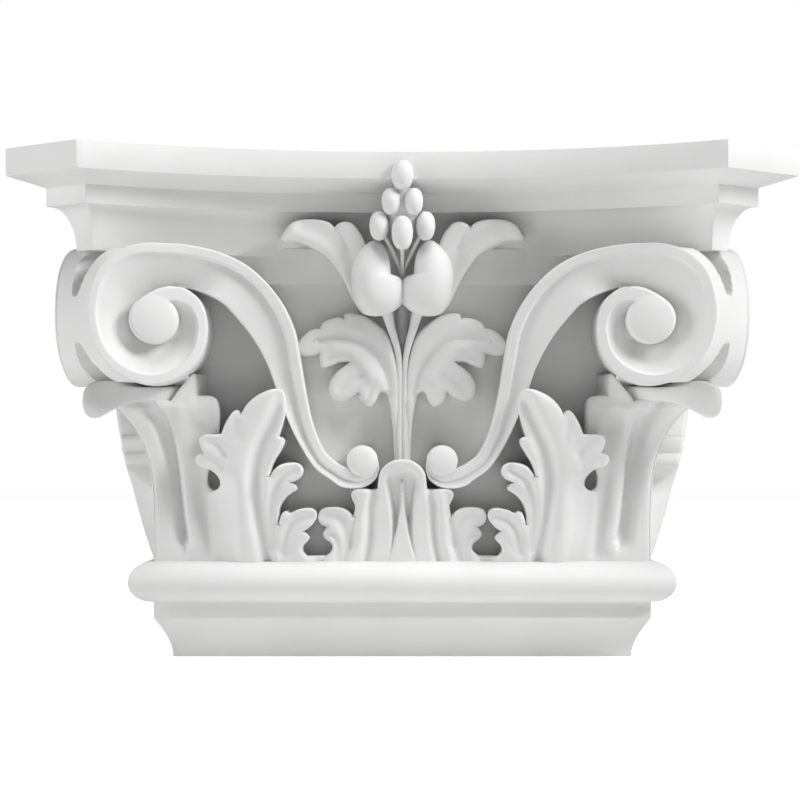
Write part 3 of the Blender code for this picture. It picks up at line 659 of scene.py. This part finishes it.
# Place along the hood from its inner end to the diagonal, its foremost line (u, d), its top and bottom
# height, how far its lower edge draws back, and its root (u, d)
HOOD = (
    (0, 104.5, 61.0, 128.6, 121.6, 0.6, 104.0, 72.0),
    (1, 110.9, 55.0, 127.9, 121.2, 0.7, 107.2, 69.8),
    (2, 115.4, 51.3, 127.6, 121.2, 0.8, 110.5, 67.8),
    (3, 121.2, 47.8, 127.5, 120.7, 0.8, 114.0, 65.6),
    (4, 126.4, 45.0, 127.7, 120.0, 0.9, 117.0, 63.5),
    (5, 130.8, 42.8, 128.5, 118.4, 1.2, 119.4, 61.6),
    (6, 134.7, 40.8, 129.7, 116.4, 1.8, 121.5, 60.0),
    (7, 138.4, 39.0, 130.2, 114.8, 2.8, 123.5, 58.4),
    (8, 141.9, 37.3, 129.8, 113.4, 4.4, 125.4, 56.9),
    (9, 144.9, 36.2, 128.8, 113.0, 6.0, 127.4, 55.2),
    (10, 147.3, 35.7, 127.6, 112.8, 7.2, 129.5, 53.5),
)
HOOD_SOFT = 5.0
front_half = []
for k in range(61):
    u, d, top, bottom, chin, root_u, root_d = smooth(HOOD, k / 6).tolist()
    # The hood faces forwards at its inner end and turns to face along the diagonal
    lean = math.pi / 4 * float(ease((k / 6 - 3.5) / 6.5))
    nose, root, out = Vector((u, d)), Vector((root_u, root_d)), Vector((math.sin(lean), -math.cos(lean)))
    middle, half = (top + bottom) / 2, (top - bottom) / 2
    row = []
    for turn in np.linspace(math.pi / 2, -math.pi / 2, 25).tolist():
        round_off = max(0.0, math.cos(turn))
        back = HOOD_SOFT * (1 - round_off**0.62) if turn > 0 else chin * (1 - round_off**0.8)
        at = nose - out * back
        row.append((at.x, at.y, middle + half * math.sin(turn)))
    under = bottom + 0.3 * (top - bottom)
    for share, z in ((0.6, under), (1.0, under + 1), (1.0, top - 1.5), (0.65, top - 0.3)):
        at = nose.lerp(root, share)
        row.append((at.x, at.y, z))
    front_half.append(row)
front_half[-1] = [((x + HALF_WIDTH - y) / 2, (y + HALF_WIDTH - x) / 2, z) for x, y, z in front_half[-1]]
side_half = [[(HALF_WIDTH - d, HALF_WIDTH - u, z) for u, d, z in row] for row in front_half[-2::-1]]
mirrored(*skin(front_half + side_half), "leaf_hood", front_only=True)


# The inner leaves, between the corner leaves and the middle one. They lean out from the bell towards their
# tips and have spoon-shaped lobes and soft flutes. Below the teardrop hole they run into the corner leaves.
edge = (
    (57.1, 126.4),
    (61.8, 125.9),
    (68.1, 122.9),
    (72.4, 119.0),
    (75.0, 114.6, 1),
    (76.7, 116.5),
    (78.6, 115.9),
    (81.8, 111.3),
    (84.3, 105.6, 1),
    (88.0, 105.3),
    (92.0, 105.2),
    (94.5, 103.2),
    (94.1, 99.9),
    (92.6, 96.6, 1),
    (95.2, 96.0),
    (96.6, 93.8),
    (95.3, 90.8),
    (91.0, 89.4),
    (87.7, 87.2),
    (85.7, 84.2),
    (85.8, 81.1),
    (87.6, 79.3),
    (91.0, 78.4, 1),
    (95.0, 77.0, 1),
    (96.5, 66.0),
    (95.0, LEAF_BASE, 1),
    (32.5, LEAF_BASE, 1),
    (32.5, 48.3, 1),
    (44.9, 48.1, 1),
    (46.8, 50.2),
    (46.6, 53.0),
    (44.7, 54.9),
    (43.6, 57.0),
    (44.9, 58.6),
    (46.8, 59.8, 1),
    (44.9, 60.7),
    (42.3, 63.1),
    (40.3, 66.4),
    (40.6, 69.2),
    (43.6, 70.8),
    (49.5, 69.9),
    (52.7, 68.5),
    (54.5, 69.4),
    (56.2, 68.6),
    (57.3, 66.4),
    (58.2, 63.0, 1),
    (57.7, 70.3),
    (55.3, 74.9),
    (52.0, 77.8),
    (49.5, 79.3),
    (49.7, 81.1),
    (52.4, 82.8, 1),
    (50.7, 83.3),
    (48.0, 84.9),
    (46.3, 88.0),
    (47.3, 90.8),
    (50.6, 92.2),
    (56.4, 91.4),
    (59.6, 89.2),
    (62.2, 85.4, 1),
    (60.3, 91.9),
    (57.6, 96.5),
    (55.1, 101.1),
    (55.2, 103.4),
    (57.6, 104.4, 1),
    (55.8, 110.1),
    (54.4, 115.8),
    (54.3, 120.9),
    (55.0, 124.7),
)


INNER_FLUTES = (
    # Up the middle of the leaf
    (((56.5, 121.5), (61.5, 109.5), (66.2, 99.5), (68.6, 88.5), (68.4, 79.0), (66.6, 63.0), (63.6, 46.0)),
     5.2, 3.0, 6.5),
    # Into the lobes towards the middle of the capital, from the upper one down
    (((50.3, 88.6), (56.8, 84.6), (60.8, 77.5), (61.6, 68.0), (60.2, 52.0)), 3.6, 1.7),
    (((51.8, 80.9), (56.0, 78.4), (59.0, 73.0)), 2.0, 0.9),
    (((43.0, 67.0), (49.1, 65.3), (53.6, 60.5), (55.8, 50.0)), 3.8, 1.8),
    (((45.8, 56.6), (50.0, 55.0), (52.5, 50.0)), 2.0, 0.7),
    # The ridges on both sides of the middle flute
    (((63.2, 86.0), (64.6, 77.0), (64.2, 67.9), (62.2, 57.2), (59.8, 46.0)), 3.0, -1.3),
    (((61.0, 124.0), (70.5, 112.0), (76.0, 98.0), (77.5, 84.0), (75.5, 66.0), (72.0, 46.0)), 7.0, -1.2),
    # Into the lobes towards the corner
    (((92.5, 102.6), (87.0, 101.0), (82.6, 96.0)), 3.4, 1.2),
    (((94.6, 93.6), (89.0, 93.4), (84.5, 90.0)), 3.0, 1.0),
    (((77.6, 115.2), (76.9, 108.5), (76.2, 103.0)), 2.6, 0.8),
)


def inner_face(u, z):
    """The depth of the leaf's face at a place."""
    t = np.clip((z - 45.6) / 82, 0, 1)
    depth = LEAF_FOOT - 3.5 - 27 * t + 6.5 * t * t + 3.0 * ease((45 - u) / 4) * ease((54 - z) / 4)
    depth = fluted(depth, u, z, INNER_FLUTES)
    joins = ease((u - 74) / 20) * ease((90 - z) / 13)
    return depth + joins * (corner_face(u, z) + 0.35 - depth)


points, faces, _ = relief(curve(edge), inner_face, PANEL + SINK, roll=2.3, drop=2.1)
mirrored(points, faces, "inner_leaf")


# The middle leaf, in the centre of the front, between the two small curls. A round-edged arch frames a
# hollow with a thin stalk in it, and a fluted lobed half leaf spreads from each side of the arch.
half_outline = (
    (0.0, 93.7, 1),
    (3.6, 93.3),
    (6.7, 91.8),
    (9.2, 89.6),
    (10.8, 86.6),
    (11.3, 83.2),
    (11.7, 79.9, 1),
    (14.2, 79.6),
    (19.4, 79.9),
    (23.0, 79.2),
    (24.2, 76.9),
    (23.3, 74.3),
    (22.2, 71.5),
    (23.2, 66.8, 1),
    (25.1, 69.1),
    (28.8, 70.9),
    (34.5, 71.1),
    (38.2, 70.0),
    (39.8, 66.5),
    (38.5, 63.2),
    (35.7, 61.8, 1),
    (37.2, 59.6),
    (37.3, 57.5),
    (35.7, 55.6),
    (33.8, 54.3),
    (33.0, 52.3),
    (33.7, 50.2),
    (36.0, 48.1, 1),
    (38.0, LEAF_BASE, 1),
)
right_half = curve(half_outline, closed=False)
outline = right_half + [(-u, z) for u, z in reversed(right_half[1:])]
ARCH = (
    (0.0, 89.9), (3.0, 89.6), (6.0, 88.2), (7.9, 85.6), (8.3, 82.0), (6.6, 72.5), (5.6, 63.6), (5.9, 54.0),
    (7.4, 44.0),
)
arch_side = curve(ARCH, 1.0, closed=False)
niche = arch_side + [(-u, z) for u, z in reversed(arch_side[1:])]
NICHE_DEPTH = 5.4
STALK_TOP, STALK_HEIGHT = 84.0, 38.0
MIDDLE_FLUTES = (
    # The ridge beside the arch and the flutes on both sides of it
    (((17.6, 77.5), (19.5, 70.5), (19.6, 63.0), (20.2, 55.7), (24.0, 44.0)), 3.0, -1.0),
    (((12.9, 79.0), (14.6, 72.0), (14.7, 64.0), (15.4, 55.0), (17.5, 44.0)), 3.5, 2.1),
    (((22.0, 76.5), (20.6, 71.0), (22.8, 62.0), (23.5, 53.0)), 2.4, 1.2),
    # Into the large lobe and the small one below it
    (((37.4, 67.0), (31.0, 67.0), (27.0, 62.2), (25.4, 54.0), (27.5, 44.0)), 4.4, 1.5),
    (((35.6, 58.0), (32.6, 57.6), (30.4, 53.0), (31.0, 44.0)), 2.2, 1.0),
)


def middle_face(u, z):
    """The depth of the leaf's face at a place, with the hollow under the arch and the stalk in it."""
    side_u = np.abs(u)
    t = np.clip((z - 47) / 47, 0, 1)
    depth = fluted(LEAF_FOOT - 2.0 - 12 * t * t, side_u, z, MIDDLE_FLUTES)
    places = np.stack([u, z], 1)
    into = far_from(places, niche, closed=True)[0] * np.where(inside_of(places, niche), 1, -1)
    hollow = NICHE_DEPTH * ease((into + 0.3) / 3.2) * (0.5 + 0.5 * ease((z - 44) / 26))
    down = np.clip((STALK_TOP - z) / STALK_HEIGHT, 0, 1)
    stalk_half = 0.55 + 5.4 * down**2
    raised = ease((stalk_half + 1.2 - side_u) / 1.9) * ease((STALK_TOP + 1 - z) / 2.4)
    lift = 1.2 + 2.6 * down + hollow * (0.35 + 0.3 * down)
    return depth + hollow - raised * np.minimum(lift, hollow * 0.9 + 0.6)


points, faces, _ = relief(outline, middle_face, PANEL + SINK, roll=1.8, drop=1.7, grid=0.85)
mesh_form("middle_leaf", points, faces)


# The small curls, where the ribbons start beside the middle leaf. Each is a round boss that the band wraps
# round, and a short hooked joint fills the gap between the two.
CURL_U, CURL_DEPTH, CURL_Z = 18.8, 59.5, 93.0
CURL_RADIUS, CURL_RISE = 7.3, 4.0
JOINT_DEPTH, JOINT_BACK = 57.4, 70.0


turns = np.linspace(0, 2 * math.pi, 48, endpoint=False).tolist()
rings = [(CURL_RADIUS, CURL_DEPTH + 20.0)]
for k in range(16):
    tilt = k / 15 * math.pi / 2 * 0.985
    rings.append((CURL_RADIUS * math.cos(tilt) ** 0.8, CURL_DEPTH - CURL_RISE * math.sin(tilt)))
rows = []
for reach, d in rings:
    rows.append([(CURL_U + reach * math.cos(a), d, CURL_Z + reach * math.sin(a)) for a in turns])
mirrored(*skin(rows), "curl", front_only=True)
joint = (
    (15.0, 91.9, 1),
    (14.6, 89.4),
    (12.9, 88.6),
    (11.9, 90.2),
    (11.6, 93.0),
    (12.4, 95.9),
    (14.4, 98.2),
    (16.0, 97.4),
    (15.6, 94.4),
)


def joint_face(u, z):
    """The joint's face is flat."""
    return np.full(len(u), JOINT_DEPTH)


points, faces, _ = relief(curve(joint, 0.5), joint_face, JOINT_BACK, roll=1.2, drop=0.9, grid=0.6)
mirrored(points, faces, "curl_joint", front_only=True)


# The flower: two buds on thin stems in front of the bell, each with an outer petal that turns away and a
# lobed leaf below. Between the buds a spray of berries stands up in front of the abacus.
leaf = (
    (3.9, 144.3),
    (7.2, 153.4),
    (14.3, 159.4),
    (19.4, 162.0),
    (24.3, 162.8),
    (27.3, 162.2),
    (27.8, 160.2, 1),
    (30.6, 160.7),
    (34.0, 160.0),
    (37.7, 158.2),
    (39.2, 155.4, 1),
    (41.7, 155.5),
    (45.1, 153.6),
    (48.6, 150.1),
    (50.6, 146.9),
    (49.9, 144.2),
    (46.9, 142.8),
    (43.0, 142.8),
    (39.2, 143.8, 1),
    (39.2, 140.8),
    (38.5, 137.6),
    (36.6, 137.0),
    (33.3, 138.0),
    (29.8, 139.6),
    (25.2, 139.7, 1),
    (27.3, 138.0),
    (30.5, 135.5),
    (33.6, 131.4),
    (34.8, 127.2),
    (34.0, 123.7),
    (31.8, 121.7),
    (28.4, 121.4),
    (24.3, 123.0),
    (20.9, 125.4, 1),
    (20.1, 122.1),
    (17.5, 119.6),
    (15.3, 118.6),
    (13.1, 120.0),
    (11.8, 122.4),
    (10.9, 124.9, 1),
    (9.4, 125.7),
    (7.5, 124.7),
    (6.5, 121.9),
    (5.5, 116.9),
    (4.4, 106.4),
    (3.4, 84.0, 1),
    (1.4, 84.0, 1),
    (1.5, 106.4),
    (2.0, 131.1),
)
FLOWER_LEAF_OUT = 13.0
FLOWER_LEAF_FLUTES = (
    # The vein, and the swelling below it
    (((38.5, 149.6), (33.0, 150.2), (26.4, 150.2), (20.9, 148.8), (16.2, 145.7), (12.0, 141.0), (8.6, 134.5),
      (6.2, 124.0)), 1.7, 2.2, 6.0),
    (((31.5, 146.3), (25.0, 144.5), (18.5, 139.5), (13.5, 132.0)), 5.0, -1.6),
    # Into the lobes
    (((29.8, 126.8), (24.6, 130.8), (18.6, 133.6)), 1.9, 0.7),
    (((16.2, 122.6), (15.0, 127.0), (12.6, 130.6)), 1.6, 0.6),
    (((36.0, 141.0), (30.5, 143.0), (25.0, 143.0)), 1.9, 0.7),
)


def flower_leaf_face(u, z):
    """The depth of the leaf's face at a place, down to where it runs beside the stems."""
    depth = PANEL - FLOWER_LEAF_OUT + 0.0035 * (u - 20) ** 2 + 2.4 * ease((122 - z) / 14)
    return fluted(depth, u, z, FLOWER_LEAF_FLUTES)


points, faces, _ = relief(curve(leaf), flower_leaf_face, PANEL + SINK, roll=2.4, drop=3.0, grid=1.0)
mirrored(points, faces, "flower_leaf", front_only=True)

petal = (
    (57.1, 197.3),
    (56.1, 199.6),
    (54.1, 202.6),
    (51.2, 204.9),
    (47.5, 206.1),
    (42.8, 206.4),
    (38.1, 206.0),
    (34.4, 204.8),
    (31.9, 202.9, 1),
    (29.7, 204.6),
    (26.9, 205.2),
    (23.6, 204.5),
    (20.8, 201.6),
    (18.4, 197.4),
    (16.1, 190.9),
    (12.0, 168.4, 1),
    (12.0, 161.9, 1),
    (17.0, 161.8),
    (19.8, 163.7),
    (23.1, 168.8),
    (25.9, 174.5),
    (28.7, 180.1),
    (32.5, 185.7),
    (36.2, 189.9),
    (40.9, 192.7),
    (45.6, 195.1),
    (50.3, 196.4),
    (55.0, 196.4),
)
PETAL_DEPTH = 63.5
PETAL_FLUTES = (
    (((46.0, 204.5), (38.0, 201.0), (30.0, 195.0), (23.5, 184.0), (20.0, 174.0)), 6.5, 1.9),
    (((31.9, 203.2), (28.6, 199.0), (25.5, 193.0)), 2.0, 0.8),
)


def petal_face(u, z):
    """The depth of the petal's face at a place: it leans forwards and outwards."""
    depth = PETAL_DEPTH - 0.17 * np.maximum(z - 165, 0) - 0.05 * np.maximum(u - 25, 0)
    return fluted(depth, u, z, PETAL_FLUTES)


points, faces, _ = relief(curve(petal), petal_face, PANEL + SINK, roll=2.6, drop=2.4, grid=1.0)
mirrored(points, faces, "petal", front_only=True)


def berry(name, centre, size, taper=0.0, pair=True):
    """One berry: a ball drawn out upwards. A taper below 0 makes its top the wider end."""
    u, d, z = centre
    wide, deep, high = size
    rows = []
    for i in range(30):
        polar = math.pi * (i + 0.35) / 29.7
        ring, height = math.sin(polar) ** 0.8, -math.cos(polar)
        ring *= 1 - taper * (height + 1) / 2
        row = []
        for k in range(36):
            a = 2 * math.pi * k / 36
            row.append((u + wide * ring * math.cos(a), d + deep * ring * math.sin(a), z + high * height))
        rows.append(row)
    if pair:
        mirrored(*skin(rows), name, front_only=True)
    else:
        mesh_form(name, *skin(rows))


def tube(path, sides=24):
    """A round form along a smooth path of (u, d, z, radius), closed at both ends."""
    table = [(k, *row) for k, row in enumerate(path)]
    steps = (len(path) - 1) * 8
    fine = [smooth(table, (len(path) - 1) * k / steps).tolist() for k in range(steps + 1)]
    spine = [Vector(row[:3]) for row in fine]
    rows = []
    for i, at in enumerate(spine):
        along = (spine[min(i + 1, steps)] - spine[max(i - 1, 0)]).normalized()
        across = along.cross(Vector((0, 1, 0.02))).normalized()
        out = across.cross(along)
        turns = [2 * math.pi * k / sides for k in range(sides)]
        rows.append([tuple(at + fine[i][3] * (math.cos(a) * across + math.sin(a) * out)) for a in turns])
    return skin(rows)


BUD_DEPTH = 60.5
# Place up the bud, its height, its inner and outer side, its half depth, and how far it swells on the inner
# side
BUD = (
    (0, 160.9, 11.8, 13.6, 0.9, 0.0),
    (1, 161.4, 8.9, 16.4, 3.2, 0.3),
    (2, 163.0, 6.4, 18.8, 6.0, 1.9),
    (3, 165.5, 4.9, 20.8, 8.2, 3.7),
    (4, 169.0, 4.2, 22.5, 9.8, 5.0),
    (5, 173.5, 4.1, 23.6, 10.4, 5.3),
    (6, 177.4, 4.6, 24.0, 10.4, 4.8),
    (7, 179.6, 5.0, 24.0, 10.25, 3.0),
    (8, 180.4, 5.2, 23.95, 10.15, 0.4),
    (9, 181.4, 5.4, 23.85, 10.0, 0.0),
    (10, 185.5, 5.8, 23.1, 9.2, 0.0),
    (11, 189.6, 6.6, 21.3, 7.8, 0.0),
    (12, 193.4, 8.4, 18.4, 5.5, 0.0),
    (13, 195.8, 10.7, 15.5, 2.8, 0.0),
    (14, 196.5, 12.5, 13.5, 0.7, 0.0),
)
rows = []
for k in range(57):
    z, inner_u, outer_u, half_depth, swell = smooth(BUD, k / 4).tolist()
    middle_u, half_u = (inner_u + outer_u) / 2, (outer_u - inner_u) / 2
    row = []
    for j in range(48):
        a = 2 * math.pi * j / 48
        inward = swell * max(0.0, -math.cos(a)) ** 2
        row.append((middle_u + half_u * math.cos(a) - inward, BUD_DEPTH + half_depth * math.sin(a), z))
    rows.append(row)
mirrored(*skin(rows), "bud", front_only=True)
# In this mesh the two lower berries and the berry stalks stand just clear of the rest, by less than 1 mm. On
# the real capital they are one with it.
berry("berry_upper", (5.3, 51.5, 214.0), (4.3, 5.5, 6.3), taper=-0.05)
berry("berry_lower", (10.9, 54.5, 202.8), (4.4, 5.8, 6.8), taper=-0.05)
berry("berry_top", (0, 48.5, 226.2), (5.1, 5.4, 6.9), pair=False)
berry("berry_middle", (0, 50.5, 199.4), (5.0, 5.4, 8.0), pair=False)
core = ((0, 71, 193, 3.0), (0, 64, 202, 5.5), (0, 58, 210, 7.5), (0, 55.5, 222, 3.8))
mesh_form("berry_core", *tube(core))
stalk = ((0.5, 67.0, 176.0, 1.0), (1.0, 65.0, 183.0, 0.9), (4.0, 62.0, 190.0, 0.9), (8.0, 59.0, 198.0, 0.9))
mirrored(*tube(stalk, sides=12), "berry_stalk", front_only=True)
middle_stalk = ((0, 66.5, 174.0, 1.2), (0, 62.0, 186.0, 1.0), (0, 56.0, 195.0, 1.0))
mesh_form("berry_middle_stalk", *tube(middle_stalk, sides=12))
stem = ((8.8, 62.5, 168.0, 3.2), (6.7, 64.5, 161.0, 2.5), (5.4, 66.0, 156.5, 2.1), (3.8, 67.5, 151.0, 1.8))
stem += ((2.6, 68.6, 146.5, 1.6), (1.6, 69.4, 140.0, 1.5), (1.3, 69.8, 128.0, 1.4), (1.3, 70.5, 96.0, 1.4))
stem += ((1.3, 70.5, 84.0, 1.4),)
mirrored(*tube(stem, sides=16), "stem", front_only=True)
stem_web = ((0, 78.0, 170.0, 2.5), (0, 77.0, 150.0, 3.2), (0, 75.5, 125.0, 3.9), (0, 75.5, 84.0, 3.9))
mesh_form("stem_web", *tube(stem_web, sides=16))


# The whole capital. The real one is moulded in one piece, so the carved forms are joined to the abacus, bell
# and neck, and everything is cut off flat at the wall.
WALL_BLOCK = 0.5
capital = forms[0]
carving = bpy.data.collections.new("carving")
bpy.context.scene.collection.children.link(carving)
for form in forms[1:]:
    carving.objects.link(form)
only(capital)
join = capital.modifiers.new("join", "BOOLEAN")
join.operation = "UNION"
join.operand_type = "COLLECTION"
join.collection = carving
join.solver = "MANIFOLD"
bpy.ops.object.modifier_apply(modifier="join")
bpy.ops.mesh.primitive_cube_add(size=1, location=(0, wall_y + WALL_BLOCK / 2, 0.12))
behind = bpy.context.active_object
behind.scale = (1, WALL_BLOCK, 1)
bpy.ops.object.transform_apply(location=True, rotation=True, scale=True)
only(capital)
cut = capital.modifiers.new("wall", "BOOLEAN")
cut.operation = "DIFFERENCE"
cut.object = behind
cut.solver = "MANIFOLD"
bpy.ops.object.modifier_apply(modifier="wall")
for form in forms[1:] + [behind]:
    bpy.data.objects.remove(form)
bpy.data.collections.remove(carving)
capital.name = "capital_carving"
only(capital)
bpy.ops.object.shade_smooth_by_angle(angle=math.radians(38))

# The finish: white primer sprayed over moulded foam. It is satin and very slightly mottled, with a fine
# grain like orange peel.
primer = bpy.data.materials.new("white_primer_finish")
primer.use_nodes = True
nodes, links = primer.node_tree.nodes, primer.node_tree.links
shader = nodes["Principled BSDF"]
shader.inputs["Specular IOR Level"].default_value = 0.35
place = nodes.new("ShaderNodeTexCoord")
mottle = nodes.new("ShaderNodeTexNoise")
mottle.inputs["Scale"].default_value = 28.0
mottle.inputs["Detail"].default_value = 4.0
links.new(place.outputs["Object"], mottle.inputs["Vector"])
tone = nodes.new("ShaderNodeValToRGB")
tone.color_ramp.elements[0].position = 0.3
tone.color_ramp.elements[0].color = (0.77, 0.77, 0.767, 1)
tone.color_ramp.elements[1].position = 0.7
tone.color_ramp.elements[1].color = (0.81, 0.81, 0.806, 1)
links.new(mottle.outputs["Fac"], tone.inputs["Fac"])
links.new(tone.outputs["Color"], shader.inputs["Base Color"])
sheen = nodes.new("ShaderNodeMapRange")
sheen.inputs["To Min"].default_value = 0.48
sheen.inputs["To Max"].default_value = 0.62
links.new(mottle.outputs["Fac"], sheen.inputs["Value"])
links.new(sheen.outputs["Result"], shader.inputs["Roughness"])
grain = nodes.new("ShaderNodeTexNoise")
grain.inputs["Scale"].default_value = 1400.0
grain.inputs["Detail"].default_value = 2.0
links.new(place.outputs["Object"], grain.inputs["Vector"])
peel = nodes.new("ShaderNodeBump")
peel.inputs["Strength"].default_value = 0.12
peel.inputs["Distance"].default_value = 0.00025
links.new(grain.outputs["Fac"], peel.inputs["Height"])
links.new(peel.outputs["Normal"], shader.inputs["Normal"])
capital.data.materials.clear()
capital.data.materials.append(primer)
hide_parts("capital")
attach(capital, "root")


# The studio: a white floor and a white sky that look bright but shed little light, so that the hollows fall
# into shade. Three soft lamps light the capital from the right, the left and above, the strongest from the
# right.
bpy.ops.object.select_all(action="DESELECT")
bpy.ops.mesh.primitive_plane_add(size=12, location=(0, 0, -0.0002))
floor = bpy.context.active_object
floor.name = "studio_floor"
bpy.ops.object.transform_apply(location=True, rotation=True, scale=True)
white = bpy.data.materials.new("studio_white")
white.use_nodes = True
matt = white.node_tree.nodes["Principled BSDF"]
matt.inputs["Base Color"].default_value = (0.92, 0.92, 0.92, 1)
matt.inputs["Roughness"].default_value = 0.9
matt.inputs["Emission Color"].default_value = (1, 1, 1, 1)
looked_at = white.node_tree.nodes.new("ShaderNodeLightPath")
glow = white.node_tree.nodes.new("ShaderNodeMapRange")
glow.inputs["To Max"].default_value = 0.93
white.node_tree.links.new(looked_at.outputs["Is Camera Ray"], glow.inputs["Value"])
white.node_tree.links.new(glow.outputs["Result"], matt.inputs["Emission Strength"])
floor.data.materials.append(white)

world = bpy.data.worlds.new("studio_sky")
bpy.context.scene.world = world
world.use_nodes = True
sky = world.node_tree.nodes["Background"]
sky.inputs["Color"].default_value = (1, 1, 1, 1)
seen = world.node_tree.nodes.new("ShaderNodeLightPath")
strength = world.node_tree.nodes.new("ShaderNodeMapRange")
strength.inputs["To Min"].default_value = 0.04
strength.inputs["To Max"].default_value = 1.0
world.node_tree.links.new(seen.outputs["Is Camera Ray"], strength.inputs["Value"])
world.node_tree.links.new(strength.outputs["Result"], sky.inputs["Strength"])


def lamp(name, place, size, power):
    """A soft square lamp that points at the capital."""
    light = bpy.data.lights.new(name, "AREA")
    light.energy = power
    light.size = size
    made = bpy.data.objects.new(name, light)
    bpy.context.scene.collection.objects.link(made)
    made.location = place
    made.rotation_euler = (Vector((0, -0.05, 0.13)) - Vector(place)).to_track_quat("-Z", "Y").to_euler()


lamp("key", (1.35, -0.7, 1.2), 0.7, 26)
lamp("side", (-1.5, -0.5, 0.45), 0.9, 11)
lamp("top", (0.1, -0.55, 1.7), 0.8, 12)

# The camera stands level with the photograph's horizon. The lens is shifted so that the capital's upright
# lines stay upright.
lens = bpy.data.cameras.new("camera")
lens.lens = 119.2
lens.shift_y = 0.06875
lens.shift_x = -0.002875
camera = bpy.data.objects.new("camera", lens)
bpy.context.scene.collection.objects.link(camera)
camera.location = (0, -1.2817, 0.0957)
camera.rotation_euler = (math.pi / 2, 0, 0)
bpy.context.scene.camera = camera
bpy.context.scene.view_settings.view_transform = "Standard"
